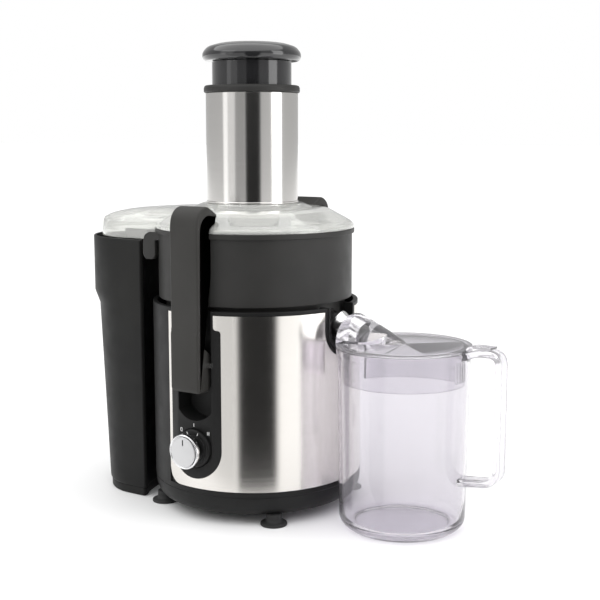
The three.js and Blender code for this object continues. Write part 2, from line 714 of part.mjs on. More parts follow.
// Plan of the container: straight sides, a half-round outer end and an inner wall that follows the base.
function binPlan(wall) {
  const half = bin.half - wall;
  const inner = bin.inner + wall;
  const edge = Math.asin(half / inner);
  const shape = new THREE.Shape();
  shape.moveTo(bin.centre, half);
  shape.absarc(bin.centre, 0, half, Math.PI / 2, 1.5 * Math.PI, false);
  shape.absarc(0, 0, inner, Math.PI + edge, Math.PI - edge, true);
  shape.closePath();
  return shape;
}

// How far the outer end is drawn in at a height, as a share of its distance from the near corners.
function binShare(z) {
  if (z >= bin.collar) return 1;
  const up = (z - bin.waist) / (bin.collar - bin.waist);
  if (z >= bin.waist) return binTaper.waist + (1 - binTaper.waist) * up;
  return binTaper.foot + ((binTaper.waist - binTaper.foot) * z) / bin.waist;
}

// The plan carried up through the given heights, with its outer end drawn in at each.
function binLoft(wall, heights) {
  const steps = heights.length - 1;
  const options = { depth: steps, steps, bevelEnabled: false, curveSegments: 9 };
  const geometry = new THREE.ExtrudeGeometry(binPlan(wall), options);
  const position = geometry.getAttribute("position");
  for (let i = 0; i < position.count; i += 1) {
    const z = heights[Math.round(position.getZ(i))];
    const x = binTaper.pivotX + (position.getX(i) - binTaper.pivotX) * binShare(z);
    position.setXYZ(i, x, position.getY(i), z);
  }
  return solid(geometry);
}

function pulpContainer() {
  const low = binTaper.base + GAP;
  const outside = binLoft(0, [low, bin.waist, bin.collar, bin.rim]);
  return cut(outside, binLoft(bin.wall, [low + bin.wall, bin.waist, bin.collar, bin.rim + 2]));
}

function containerBase() {
  const ring = binLoft(binTaper.inset, [0, binTaper.base]);
  return cut(ring, binLoft(binTaper.inset + 5, [-2, binTaper.base - 3]));
}

// ---- Juice jug ----------------------------------------------------------------------------------

// Outline of the jug's body, drawn in by a wall for its inside.
function jugProfile(wall, top) {
  const points = [[0, wall]];
  const r = jug.foot - wall;
  const round = jug.corner - wall;
  for (let k = 0; k <= 5; k += 1) {
    const a = rad(18 * k);
    points.push([r - round + round * Math.sin(a), wall + round - round * Math.cos(a)]);
  }
  points.push([jug.r - wall, jug.top - 8]);
  points.push([jug.rim - wall, jug.top - 4]);
  points.push([jug.rim - wall, top]);
  points.push([0, top]);
  return points;
}

// The pouring beak: a wedge under the rim towards the juicer, drawn in by a wall for its inside.
function jugBeak(wall, top) {
  const tip = -jug.rim - beak.reach + wall * 1.3;
  const root = -jug.rim + 8;
  const side = polygon([
    [root, top], [root, jug.top - beak.deep], [-jug.r + wall, jug.top - beak.deep],
    [-jug.r - 2 + wall, beak.lip - 2.8], [tip, beak.lip - 2.2 + wall * 0.5], [tip, top],
  ]);
  const half = beak.half - wall;
  const plan = polygon([
    [tip, -1.5], [root - 5, -half], [root, -half], [root, half], [root - 5, half], [tip, 1.5],
  ]);
  const wedge = prism(side, -20, 20, new THREE.Matrix4().makeRotationX(Math.PI / 2));
  return wedge.intersect(prism(plan, 0, top + 1));
}

function jugHandle() {
  const x0 = jug.r - 1.6;
  const t = handle.thick;
  const outline = (grow) => {
    const shape = new THREE.Shape();
    const x1 = handle.reach - t + grow;
    const low = handle.low + t - grow;
    const high = handle.high - t + grow;
    const round = handle.corner - t + grow;
    shape.moveTo(x0 - 20, low - 3);
    shape.lineTo(x1 - round, low + 3);
    shape.absarc(x1 - round, low + 3 + round, round, -Math.PI / 2, 0, false);
    shape.lineTo(x1, high - round);
    shape.absarc(x1 - round, high - round, round, 0, Math.PI / 2, false);
    shape.lineTo(x0 + 14, high);
    shape.lineTo(x0 - 20, high - (t - grow) * 2.5);
    shape.closePath();
    return shape;
  };
  const across = new THREE.Matrix4().makeRotationX(Math.PI / 2);
  const outside = prism(outline(t), -handle.wide / 2, handle.wide / 2, across, 6);
  const strap = cut(outside, prism(outline(0), -handle.wide, handle.wide, across, 6));
  const bodyRoom = turned(jugProfile(1.2, jug.top));
  return cut(strap, bodyRoom, rod(jug.rim + GAP, jug.top, jug.top + 20, FINE));
}

function jugBody() {
  const outside = join(turned(jugProfile(0, jug.top)), jugBeak(0, jug.top), jugHandle());
  const dip = block(-jug.rim - 20, -jug.rim + 8, -beak.notch, beak.notch, beak.lip, jug.top + 9);
  return cut(outside, turned(jugProfile(jug.wall, jug.top + 20)), jugBeak(jug.wall, jug.top + 20), dip);
}

// Half cone over the spout, open towards the juicer, drawn in by a wall for its inside.
function hoodForm(wall) {
  const length = cover.front - cover.back;
  const cone = new THREE.ConeGeometry(1, 1, 16).rotateZ(-Math.PI / 2).translate(0.5, 0, 0);
  const low = jug.top + GAP;
  const grow = wall ? 2 : 0;
  cone.scale(length + grow - wall * 2, cover.half - wall, cover.rise + cover.thick - wall);
  return solid(cone.translate(cover.back - jug.x - grow, 0, low));
}

function jugLid() {
  const low = jug.top + GAP;
  const top = low + cover.thick;
  const skirtOut = jug.rim - jug.wall - 3.1;
  const disc = rod(jug.rim, low, top, FINE);
  const ring = tube(skirtOut - 2, skirtOut, low - cover.skirt, low + 0.5);
  const hood = hoodForm(0).intersect(block(-80, 80, -60, 60, low, top + 60));
  const hollow = hoodForm(cover.thick).intersect(block(-80, 80, -60, 60, top, top + 60));
  // Open under the hood and out to the edge, so that the spout has room.
  const back = cover.back - jug.x;
  const mouth = polygon([[-80, -18], [back + 18, -18], [back + 32, 0], [back + 18, 18], [-80, 18]]);
  let body = cut(join(disc, ring, hood), hollow, prism(mouth, low - 60, top + 0.5));
  for (let k = 0; k < cover.slots; k += 1) {
    const at = new THREE.Matrix4().makeRotationZ(rad(-7.5 + k * 5));
    body = cut(body, block(skirtOut - 6, skirtOut + 4, -1.2, 1.2, low - cover.skirt + 4, low - 8, at));
  }
  return body;
}

// ---- Assembly -----------------------------------------------------------------------------------

piece("motor_housing", motorHousing(), DARK, 0.55);
piece("steel_wrap", steelWrap(), STEEL, 0.3, 1);
piece("control_panel", sidePanel(FRONT, knob.bezel), DARK, 0.5);
piece("rear_panel", sidePanel(REAR, gland.r), DARK, 0.5);
piece("spout_trim", spoutTrim(), DARK, 0.5);
piece("bottom_cover", bottomCover(), BLACK, 0.6);
[[1, -1], [1, 1], [-1, 1], [-1, -1]].forEach(([sx, sy], k) => {
  piece(`foot_${k + 1}`, footBody(sx * foot.at, sy * foot.at), BLACK, 0.8);
});
screwAngles.forEach((angle, k) => piece(`cover_screw_${k + 1}`, coverScrew(angle), STEEL, 0.35, 1));

piece("motor_stator", motorStator(), 0x8a8a8a, 0.5, 0.8);
piece("motor_top_bracket", motorBracket(1), STEEL, 0.4, 0.9);
piece("motor_bottom_bracket", motorBracket(-1), STEEL, 0.4, 0.9);
piece("upper_bearing", bearingRing(1), STEEL, 0.25, 1);
piece("lower_bearing", bearingRing(-1), STEEL, 0.25, 1);
[30, 150, 270].forEach((angle, k) => piece(`motor_post_${k + 1}`, motorPost(angle), BLACK, 0.8));
piece("motor_shaft", motorShaft(), STEEL, 0.25, 1);
piece("rotor_core", rotorCore(), 0x7d7268, 0.5, 0.8);
piece("cooling_fan", coolingFan(), BLACK, 0.6);
piece("drive_coupling", driveCoupling(), BLACK, 0.5);

piece("juice_bowl", juiceBowl(), DARK, 0.5);
piece("spout_tube", spoutTube(), STEEL, 0.15, 1);
piece("filter_basket", filterBasket(), STEEL, 0.3, 1);
piece("grater_disc", graterDisc(), STEEL, 0.3, 1);

piece("clear_lid", clearLid(), CLEAR, 0.1);
piece("chute_sleeve", chuteSleeve(), STEEL, 0.2, 1);
piece("chute_rim", chuteRim(), DARK, 0.4);
piece("pusher_body", pusherBody(), BLACK, 0.2);
piece("pusher_cap", pusherCap(), BLACK, 0.1);

[["front", FRONT], ["rear", REAR]].forEach(([name, angle]) => {
  piece(`${name}_locking_arm`, lockingArm(angle), DARK, 0.5);
  piece(`${name}_arm_pin`, armPin(angle), STEEL, 0.3, 1);
  piece(`${name}_arm_switch`, switchBody(angle), BLACK, 0.6);
});

piece("knob_bezel", knobBezel(), BLACK, 0.2);
piece("knob_body", knobBody(), STEEL, 0.1, 1);
piece("knob_face", knobFace(), 0xe6e6e6, 0.4, 0.6);
piece("rotary_switch", rotarySwitch(), BLACK, 0.6);
piece("cord_gland", cordGland(), BLACK, 0.7);

piece("pulp_container", pulpContainer(), DARK, 0.6);
piece("container_base", containerBase(), DARK, 0.6);

piece("juice_jug", jugBody(), CLEAR, 0.1).position.x = jug.x;
piece("jug_lid", jugLid(), CLEAR, 0.1).position.x = jug.x;

const middle = new THREE.Box3().setFromObject(group).getCenter(new THREE.Vector3());
group.position.set(-middle.x, -middle.y, 0);

export default group;
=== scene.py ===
# %% [markdown]
# # A centrifugal juicer, piece by piece
#
# The real machine is a steel-wrapped motor base with a dark plastic bowl on it, a clear lid with a steel
# feed chute, two locking arms, a pulp container behind and a clear jug in front. Its working model
# already exists as a fixed frame, made of plain solids with flat facets. Here each visible solid gets the
# fine surface that its mould or press would give it, in exactly the same place.
#
# %% The fixed frame
import json
import math

import bmesh
import bpy
import numpy as np
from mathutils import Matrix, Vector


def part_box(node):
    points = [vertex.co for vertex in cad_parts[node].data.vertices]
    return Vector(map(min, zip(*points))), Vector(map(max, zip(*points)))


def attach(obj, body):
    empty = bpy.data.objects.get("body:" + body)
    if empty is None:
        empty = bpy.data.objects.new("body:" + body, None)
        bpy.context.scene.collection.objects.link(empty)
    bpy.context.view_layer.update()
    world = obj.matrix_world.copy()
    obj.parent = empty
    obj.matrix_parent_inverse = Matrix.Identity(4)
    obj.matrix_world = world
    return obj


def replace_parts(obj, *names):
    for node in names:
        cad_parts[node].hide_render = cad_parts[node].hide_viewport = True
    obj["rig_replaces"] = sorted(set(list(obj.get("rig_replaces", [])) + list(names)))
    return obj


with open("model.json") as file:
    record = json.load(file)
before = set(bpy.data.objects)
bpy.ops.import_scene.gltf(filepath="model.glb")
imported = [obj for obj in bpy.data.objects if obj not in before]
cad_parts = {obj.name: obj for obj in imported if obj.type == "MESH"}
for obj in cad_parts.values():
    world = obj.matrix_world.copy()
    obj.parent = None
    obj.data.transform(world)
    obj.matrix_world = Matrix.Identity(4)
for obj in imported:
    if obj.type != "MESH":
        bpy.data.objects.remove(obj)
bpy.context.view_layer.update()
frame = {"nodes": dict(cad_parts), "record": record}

# %% [markdown]
# The motor shaft is the axis that nearly everything is turned about. All shapes below are worked out in
# millimetres from that axis and from the worktop, as a maker's drawing is, and are put into Blender's
# metres in one place, when the mesh is made.
#
# %% Millimetres from the shaft
MM = 0.001
shaft_low, shaft_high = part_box("motor_shaft")
SHAFT = np.array([(shaft_low.x + shaft_high.x) / 2, (shaft_low.y + shaft_high.y) / 2, 0])


def node_mm(name):
    """Lowest and highest corner of a frame node, in millimetres from the shaft and the worktop."""
    low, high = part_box(name)
    return (np.array(low) - SHAFT) / MM, (np.array(high) - SHAFT) / MM


housing_low, housing_high = node_mm("motor_housing")
BASE_R = -housing_low[0]
BASE_LOW = housing_low[2]
BASE_TOP = housing_high[2]
BAND = node_mm("steel_wrap")[0][2]
print(f"base: radius {BASE_R:.1f} mm, from {BASE_LOW:.1f} to {BASE_TOP:.1f} mm, steel from {BAND:.1f} mm")

# %% [markdown]
# ## Ways to make a surface
#
# A moulded part has no sharp corner: the tool that cut its mould was round. A bevel modifier could round
# the edges afterwards, but it needs clean topology. Rounding the drawn outline itself is simpler and
# stays exact, so every outline below goes through `soften` first.
#
# %% Rounded outlines
def soften(points, reach, steps=6, closed=True):
    """Rounds corners: each is replaced by the parabola that leaves one edge at `reach` before the corner
    and joins the next edge at the same distance after it, B(s) = (1-s)^2 A + 2s(1-s) P + s^2 C."""
    corner = np.asarray(points, float)
    to_last = np.roll(corner, 1, 0) - corner
    to_next = np.roll(corner, -1, 0) - corner
    last_length = np.linalg.norm(to_last, axis=1)
    next_length = np.linalg.norm(to_next, axis=1)
    span = np.minimum(np.broadcast_to(reach, len(corner)), 0.49 * np.minimum(last_length, next_length))
    if not closed:
        span = np.where(np.isin(np.arange(len(corner)), (0, len(corner) - 1)), 0, span)
    start = corner + to_last * (span / last_length)[:, None]
    end = corner + to_next * (span / next_length)[:, None]
    s = np.linspace(0, 1, steps)[None, :, None]
    curve = (1 - s) ** 2 * start[:, None] + 2 * s * (1 - s) * corner[:, None] + s**2 * end[:, None]
    keep = np.ones(curve.shape[:2], bool)
    keep[span < 1e-6, 1:] = False
    return curve[keep]


def inset(outline, by):
    """Moves a closed outline inwards: each point slides along the bisector of its two edges, as far as
    keeps both edges `by` from where they were; the miter is limited so that sharp points stay tidy."""
    along = np.roll(outline, -1, 0) - outline
    length = np.maximum(np.linalg.norm(along, axis=1, keepdims=True), 1e-9)
    area = np.sum(outline[:, 0] * np.roll(outline[:, 1], -1) - np.roll(outline[:, 0], -1) * outline[:, 1])
    inward = np.stack([-along[:, 1], along[:, 0]], 1) / length * np.sign(area)
    before = np.roll(inward, 1, 0)
    share = np.maximum(1 + np.sum(inward * before, 1, keepdims=True), 0.7)
    return outline + (inward + before) / share * by


print("a softened square has", len(soften([(0, 0), (1, 0), (1, 1), (0, 1)], 0.2)), "points")

# %% [markdown]
# Three families of shape cover the whole machine. A turned part is a profile spun about an axis. A plate
# is an outline pushed through a thickness, with its edges rolled over. A strap is a section carried along
# a path. Each is a stack of rings, so one function, `skin`, can turn any of them into points and faces.
#
# %% Rings: turned parts, plates and straps
SIDES, FINE_SIDES = 160, 256


def spin(profile, sides=SIDES, centre=(0, 0)):
    """Rings of a turned part: each profile point [radius r, height z] goes round the upright axis at
    `centre`, x = cx + r cos a, y = cy + r sin a."""
    a = np.linspace(0, 2 * np.pi, sides, endpoint=False)
    r = np.asarray(profile)[:, 0, None]
    z = np.asarray(profile)[:, 1, None]
    return np.stack([centre[0] + r * np.cos(a), centre[1] + r * np.sin(a), z + 0 * a], -1)


def plate(outline, low, high, edge=0.0, steps=4):
    """Rings of a plate: the outline is carried from low to high, and at both ends it is drawn in along a
    quarter circle of radius `edge`. The third column is the height."""
    if edge == 0:
        return np.stack([np.column_stack([outline, np.full(len(outline), t)]) for t in (low, high)])
    t = np.linspace(0, np.pi / 2, steps + 1)
    draw_in = edge * (1 - np.sin(t))
    rise = edge * (1 - np.cos(t))
    draw_in = np.concatenate([draw_in, draw_in[::-1]])
    level = np.concatenate([low + rise, (high - rise)[::-1]])
    rows = [np.column_stack([inset(outline, d), np.full(len(outline), z)]) for d, z in zip(draw_in, level)]
    return np.stack(rows)


def strap(path, section):
    """Rings of a strap whose path lies in the x-z plane: at each path point the section [thickness,
    across] is set square to the path, p + n * thickness + y * across."""
    along = np.gradient(path, axis=0)
    along /= np.linalg.norm(along, axis=1, keepdims=True)
    normal = np.stack([-along[:, 1], along[:, 0]], 1)
    x = path[:, 0, None] + normal[:, 0, None] * section[None, :, 0]
    z = path[:, 1, None] + normal[:, 1, None] * section[None, :, 0]
    y = np.broadcast_to(section[None, :, 1], x.shape)
    return np.stack([x, y, z], -1)


def skin(rings, loop=False):
    """Points and faces through a stack of rings: a four-sided face joins each pair of neighbours. A loop
    joins the last ring to the first; otherwise both ends get a flat face."""
    rows, columns = rings.shape[:2]
    ring = np.arange(rows if loop else rows - 1)[:, None] * columns
    above = (ring + columns) % (rows * columns)
    j = np.arange(columns)[None, :]
    k = (j + 1) % columns
    faces = np.stack([ring + j, ring + k, above + k, above + j], -1).reshape(-1, 4).tolist()
    if not loop:
        faces.append(list(range(columns))[::-1])
        faces.append(list(range((rows - 1) * columns, rows * columns)))
    return rings.reshape(-1, 3), faces


def facing(points, degrees):
    """Turns [across, up, outwards] into x, y, z for a place at that angle round the base."""
    turn = math.radians(degrees + 90)
    across, up, out = points[..., 0], points[..., 1], points[..., 2]
    x = across * math.cos(turn) + out * math.sin(turn)
    y = across * math.sin(turn) - out * math.cos(turn)
    return np.stack([x, y, up], -1)


def turn_plan(points, angle):
    """Turns points about the upright axis by an angle in radians: x cos a - y sin a, x sin a + y cos a."""
    x, y = points[..., 0], points[..., 1]
    turned = points.copy()
    turned[..., 0] = x * math.cos(angle) - y * math.sin(angle)
    turned[..., 1] = x * math.sin(angle) + y * math.cos(angle)
    return turned


FRONT, REAR, SPOUT = -90, 90, 0
print("a turned ring has", len(skin(spin([(1, 0), (2, 0), (2, 1), (1, 1)]), loop=True)[0]), "points")

# %% [markdown]
# A mesh object is made once from one or more such skins. Its points are merged where a profile meets the
# axis, so that a pole is one point, and its faces are turned outwards, which the sign of its volume tells.
# A cut or a join is then a Boolean modifier that is applied at once, so that no tool stays in the scene.
#
# %% From skins to objects
def outward(points, faces):
    """The same faces, reversed if the volume they enclose comes out negative."""
    fans = np.array([(f[0], f[i], f[i + 1]) for f in faces for i in range(1, len(f) - 1)])
    a, b, c = (points[fans[:, i]] for i in range(3))
    volume = np.sum(a * np.cross(b, c)) / 6
    return faces if volume > 0 else [f[::-1] for f in faces]


def solid(name, *skins):
    """One mesh object holding each skin as a closed shell, in Blender's metres."""
    points, faces = [], []
    for skin_points, skin_faces in skins:
        start = sum(len(p) for p in points)
        faces += [[i + start for i in f] for f in outward(skin_points, skin_faces)]
        points.append(skin_points)
    mesh = bpy.data.meshes.new(name)
    mesh.from_pydata((np.concatenate(points) * MM + SHAFT).tolist(), [], faces)
    shell = bmesh.new()
    shell.from_mesh(mesh)
    bmesh.ops.remove_doubles(shell, verts=shell.verts, dist=1e-7)
    shell.to_mesh(mesh)
    shell.free()
    item = bpy.data.objects.new(name, mesh)
    bpy.context.scene.collection.objects.link(item)
    return item


def lathe(name, profile, sides=SIDES, centre=(0, 0), loop=False):
    """A turned part from its profile [radius, height]; a loop is a ring, open through the middle."""
    return solid(name, skin(spin(profile, sides, centre), loop))


def drum(name, radius, low, high, sides=SIDES, centre=(0, 0)):
    """A plain cylinder from low to high."""
    return lathe(name, [(0, low), (radius, low), (radius, high), (0, high)], sides, centre)


def room(name, x, y, z):
    """A box-shaped space between pairs of limits."""
    corners = np.array([(x[0], y[0]), (x[1], y[0]), (x[1], y[1]), (x[0], y[1])])
    return solid(name, skin(plate(corners, *z)))


def settle(item):
    """Bakes an object's modifiers into its mesh."""
    graph = bpy.context.evaluated_depsgraph_get()
    done = bpy.data.meshes.new_from_object(item.evaluated_get(graph), depsgraph=graph)
    spare = item.data
    item.modifiers.clear()
    item.data = done
    bpy.data.meshes.remove(spare)
    return item


def machine(item, how, *tools):
    """Cuts, joins or keeps the overlap ("DIFFERENCE", "UNION", "INTERSECT") with each tool in turn."""
    for tool in tools:
        work = item.modifiers.new(how, "BOOLEAN")
        work.operation = how
        work.solver = "EXACT"
        work.object = tool
        settle(item)
        spare = tool.data
        bpy.data.objects.remove(tool)
        bpy.data.meshes.remove(spare)
    return item


def ease(item, width, segments, angle):
    """Rolls over the edges sharper than the angle, as a deburring pass does."""
    work = item.modifiers.new("ease", "BEVEL")
    work.width = width * MM
    work.segments = segments
    work.limit_method = "ANGLE"
    work.angle_limit = math.radians(angle)
    work.use_clamp_overlap = True
    return settle(item)


made = []


def fit(item, body, slot, material, *nodes, angle=32):
    """Finishes a piece: smooth shading but for its real edges, its material, the body it rides on and the
    frame nodes that it stands for."""
    item.data.shade_smooth()
    item.data.set_sharp_from_angle(angle=math.radians(angle))
    item.data.materials.clear()
    item.data.materials.append(material)
    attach(item, body)
    if nodes:
        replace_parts(item, *nodes)
    made.append(item)
    print(f"{item.name}: {len(item.data.polygons)} faces on {body}")
    return item


# %% [markdown]
# ## The finishes
#
# Every finish is a small node tree on Object coordinates, which are metres, so a noise scale of 1000 has
# features about a millimetre across. An image texture would need a file and would stretch on some faces;
# noise fills space evenly. Three helpers are enough: one that gives a noise, one that maps it to a range,
# and one that turns it into relief.
#
# %% Node helpers
def finish(name, colour, roughness, metallic=0.0, **sockets):
    """A material with one shader, its constant values set on the shader's own sockets."""
    material = bpy.data.materials.new(name)
    material.use_nodes = True
    tree = material.node_tree
    shader = next(n for n in tree.nodes if n.type == "BSDF_PRINCIPLED")
    shader.inputs["Base Color"].default_value = (*colour, 1)
    shader.inputs["Roughness"].default_value = roughness
    shader.inputs["Metallic"].default_value = metallic
    for socket, value in sockets.items():
        shader.inputs[socket.replace("_", " ")].default_value = value
    return material, tree, shader


def noise(tree, scale, detail, stretch=(1, 1, 1)):
    """Noise in Object coordinates, `scale` features to a metre, squeezed along an axis by `stretch`."""
    place = tree.nodes.new("ShaderNodeTexCoord")
    scaled = tree.nodes.new("ShaderNodeMapping")
    scaled.inputs["Scale"].default_value = stretch
    grain = tree.nodes.new("ShaderNodeTexNoise")
    grain.inputs["Scale"].default_value = scale
    grain.inputs["Detail"].default_value = detail
    tree.links.new(place.outputs["Object"], scaled.inputs["Vector"])
    tree.links.new(scaled.outputs["Vector"], grain.inputs["Vector"])
    return grain.outputs["Fac"]


def spread(tree, source, low, high, span=(0.3, 0.7)):
    """Maps the middle of a noise to the range low to high."""
    ramp = tree.nodes.new("ShaderNodeMapRange")
    for socket, value in zip(("From Min", "From Max", "To Min", "To Max"), (*span, low, high)):
        ramp.inputs[socket].default_value = value
    tree.links.new(source, ramp.inputs["Value"])
    return ramp.outputs["Result"]


def blend_colours(tree, source, dark, light):
    """A colour that runs from dark to light with the noise."""
    mix = tree.nodes.new("ShaderNodeMix")
    mix.data_type = "RGBA"
    mix.inputs[6].default_value = (*dark, 1)
    mix.inputs[7].default_value = (*light, 1)
    tree.links.new(source, mix.inputs[0])
    return mix.outputs[2]


def relief(tree, shader, source, height, strength):
    """Raises the surface by up to `height` millimetres where the noise is high."""
    bump = tree.nodes.new("ShaderNodeBump")
    bump.inputs["Strength"].default_value = strength
    bump.inputs["Distance"].default_value = height * MM
    tree.links.new(source, bump.inputs["Height"])
    tree.links.new(bump.outputs["Normal"], shader.inputs["Normal"])


# %% [markdown]
# The dark casings are injection-moulded plastic with a spark-eroded mould texture: a very fine grain, a
# satin sheen, and patches a few centimetres wide that handling has made slightly smoother.
#
# %% Moulded plastics
def moulded(name, dark, light, rough_low, rough_high, grain=2600, height=0.02, **sockets):
    """Satin plastic: fine relief, roughness that drifts over a few centimetres, faint colour drift."""
    material, tree, shader = finish(name, dark, rough_low, **sockets)
    drift = noise(tree, 22, 4)
    fine = noise(tree, grain, 2)
    tree.links.new(blend_colours(tree, spread(tree, drift, 0, 1), dark, light), shader.inputs["Base Color"])
    tree.links.new(spread(tree, noise(tree, 60, 5), rough_low, rough_high), shader.inputs["Roughness"])
    relief(tree, shader, fine, height, 0.6)
    return material


SHEEN = {"Specular_IOR_Level": 0.2}
casing = moulded("casing_plastic", (0.008, 0.008, 0.008), (0.011, 0.011, 0.011), 0.40, 0.50, **SHEEN)
ring_plastic = moulded("ring_plastic", (0.025, 0.025, 0.024), (0.030, 0.029, 0.028), 0.40, 0.50, **SHEEN)
arm_plastic = moulded("arm_plastic", (0.030, 0.029, 0.027), (0.036, 0.035, 0.033), 0.42, 0.52, **SHEEN)
bin_plastic = moulded("bin_plastic", (0.008, 0.008, 0.008), (0.011, 0.011, 0.010), 0.42, 0.55, **SHEEN)
panel_plastic = moulded("panel_plastic", (0.008, 0.008, 0.008), (0.011, 0.011, 0.011), 0.38, 0.48, **SHEEN)
rubber = moulded(
    "foot_rubber", (0.012, 0.012, 0.012), (0.018, 0.018, 0.018), 0.65, 0.8, grain=1500, height=0.05,
)
gloss_black = moulded(
    "polished_black", (0.013, 0.013, 0.014), (0.017, 0.017, 0.018), 0.08, 0.16, grain=900, height=0.002,
    Coat_Weight=0.6, Coat_Roughness=0.05,
)
ink = moulded("printed_ink", (0.70, 0.70, 0.70), (0.78, 0.78, 0.77), 0.5, 0.6, grain=3000, height=0.01)
print("moulded plastics:", casing.name, arm_plastic.name, bin_plastic.name, panel_plastic.name)

# %% [markdown]
# The wrap and the chute's sleeve are rolled from sheet that was brushed along its length, so every scratch
# runs level round the machine. Squeezing a noise hard along Z gives level lines without any unwrapping,
# and an anisotropic shader whose tangent runs round the axis stretches each highlight up and down.
#
# %% Metals
def brushed(name, colour, roughness, lines=5200, anisotropic=0.55):
    """Brushed steel: level lines finer than a millimetre, seen in colour, gloss and relief. A quarter turn
    of the anisotropy smears reflections up and down, across the level lines."""
    material, tree, shader = finish(
        name, colour, roughness, 1.0, Anisotropic=anisotropic, Anisotropic_Rotation=0.25,
    )
    level = noise(tree, 1, 5, (18, 18, lines))
    broad = noise(tree, 1, 3, (6, 6, 900))
    darker = tuple(c * 0.96 for c in colour)
    shade = blend_colours(tree, spread(tree, level, 0, 1), darker, colour)
    tree.links.new(shade, shader.inputs["Base Color"])
    tree.links.new(spread(tree, broad, roughness * 0.95, roughness * 1.08), shader.inputs["Roughness"])
    relief(tree, shader, level, 0.0006, 0.2)
    around = tree.nodes.new("ShaderNodeTangent")
    around.direction_type = "RADIAL"
    around.axis = "Z"
    tree.links.new(around.outputs["Tangent"], shader.inputs["Tangent"])
    return material


def polished(name, colour, roughness, smear=0.06):
    """Polished metal with the faint smears and hairlines that wiping leaves."""
    material, tree, shader = finish(name, colour, roughness, 1.0)
    tree.links.new(spread(tree, noise(tree, 90, 5), roughness, roughness + smear), shader.inputs["Roughness"])
    relief(tree, shader, noise(tree, 1800, 2), 0.002, 0.4)
    return material


steel = brushed("brushed_steel", (0.76, 0.735, 0.70), 0.20)
sleeve_steel = brushed("sleeve_steel", (0.70, 0.685, 0.665), 0.17)
bright_steel = polished("polished_steel", (0.78, 0.78, 0.78), 0.14)
chrome = polished("knob_chrome", (0.84, 0.84, 0.85), 0.08)
satin = brushed("knob_satin", (0.60, 0.60, 0.605), 0.34, 9000, 0.2)
print("metals:", steel.name, sleeve_steel.name, bright_steel.name, chrome.name, satin.name)

# %% [markdown]
# The lid and the jug are clear moulded plastic, a few millimetres thick. Real thickness does most of the
# work: the light bends at both faces and piles up at the edges. Lamps could be traced through the bends as
# caustics, but that is slow and noisy. Instead the wall is plainly see-through to the rays that only ask
# whether a lamp is hidden, so what stands inside is lit as it is behind real clear plastic.
#
# %% Clear plastics
def clear(name, tint, roughness, clearness):
    """Clear plastic with the gentle flow waves of a moulding and a little surface haze. What isn't let
    through, the share left over by `clearness`, scatters as a milky white."""
    material, tree, shader = finish(name, tint, roughness, IOR=1.49, Transmission_Weight=clearness)
    tree.links.new(spread(tree, noise(tree, 45, 4), roughness, roughness + 0.04), shader.inputs["Roughness"])
    relief(tree, shader, noise(tree, 55, 2), 0.012, 0.15)
    ask = tree.nodes.new("ShaderNodeLightPath")
    through = tree.nodes.new("ShaderNodeBsdfTransparent")
    through.inputs["Color"].default_value = (*tint, 1)
    either = tree.nodes.new("ShaderNodeMixShader")
    surface = next(n for n in tree.nodes if n.type == "OUTPUT_MATERIAL")
    tree.links.new(ask.outputs["Is Shadow Ray"], either.inputs[0])
    tree.links.new(shader.outputs[0], either.inputs[1])
    tree.links.new(through.outputs[0], either.inputs[2])
    tree.links.new(either.outputs[0], surface.inputs["Surface"])
    return material


lid_clear = clear("lid_clear", (0.92, 0.925, 0.90), 0.03, 0.80)
jug_clear = clear("jug_clear", (0.83, 0.815, 0.845), 0.02, 0.96)
print("clear plastics:", lid_clear.name, jug_clear.name)

# %% [markdown]
# ## The motor base
#
# The casing is one deep moulding: a short flared skirt, a straight wall set back by the thickness of the
# steel that wraps it, and a back that stands out flush with the steel. A parting groove runs round the
# skirt. It is turned first, then the seats for the wrap, the panels and the spout recess are machined in,
# in the same order as a pattern maker would cut them.
#
# %% Outlines that neighbours share
OUTSIDE = BASE_R + 3  # where a cutting tool ends, clear of the base's surface
WRAP_THICK = 1.0
WRAP_END = 109.0  # degrees from the spout
BORDER = 3.5  # dark edge left above the steel and round the spout's recess
panel_low, panel_high = node_mm("control_panel")
PANEL_HALF = panel_high[0]
PANEL_LOW = panel_low[2]
PANEL_SHOULDER, PANEL_NECK, PANEL_THICK = 172.0, 20.0, 2.0
POCKET_HALF, POCKET_LOW, POCKET_CORNER = 18.0, 91.5, 100.0
POCKET_DEEP, POCKET_SHALLOW, POCKET_STEP, POCKET_WALL = 74.0, 84.0, 150.0, 1.5
ARCH_HALF, ARCH_CENTRE, ARCH_BACK, ARCH_BORDER = 21.4, 168.6, 82.7, 2.6
KNOB_Z = (node_mm("knob_body")[0][2] + node_mm("knob_body")[1][2]) / 2


def arc(centre, radius, start, end, steps=28):
    """Points on a circle between two angles in degrees: centre + radius (cos a, sin a)."""
    a = np.radians(np.linspace(start, end, steps))
    return np.column_stack([centre[0] + radius * np.cos(a), centre[1] + radius * np.sin(a)])


def panel_outline(grow):
    """The dark panel as [across, up]: a half-round foot, rounded shoulders, and a neck to the top edge."""
    half, neck, shoulder = PANEL_HALF + grow, PANEL_NECK + grow, PANEL_SHOULDER + grow
    foot_round = arc((0, PANEL_LOW + PANEL_HALF), half, 180, 360)
    side = [(half, shoulder - 30), (half, shoulder), (neck, shoulder), (neck, BASE_TOP + 2)]
    rise = soften(side, 5, closed=False)
    return np.concatenate([foot_round, rise, rise[::-1] * (-1, 1)])


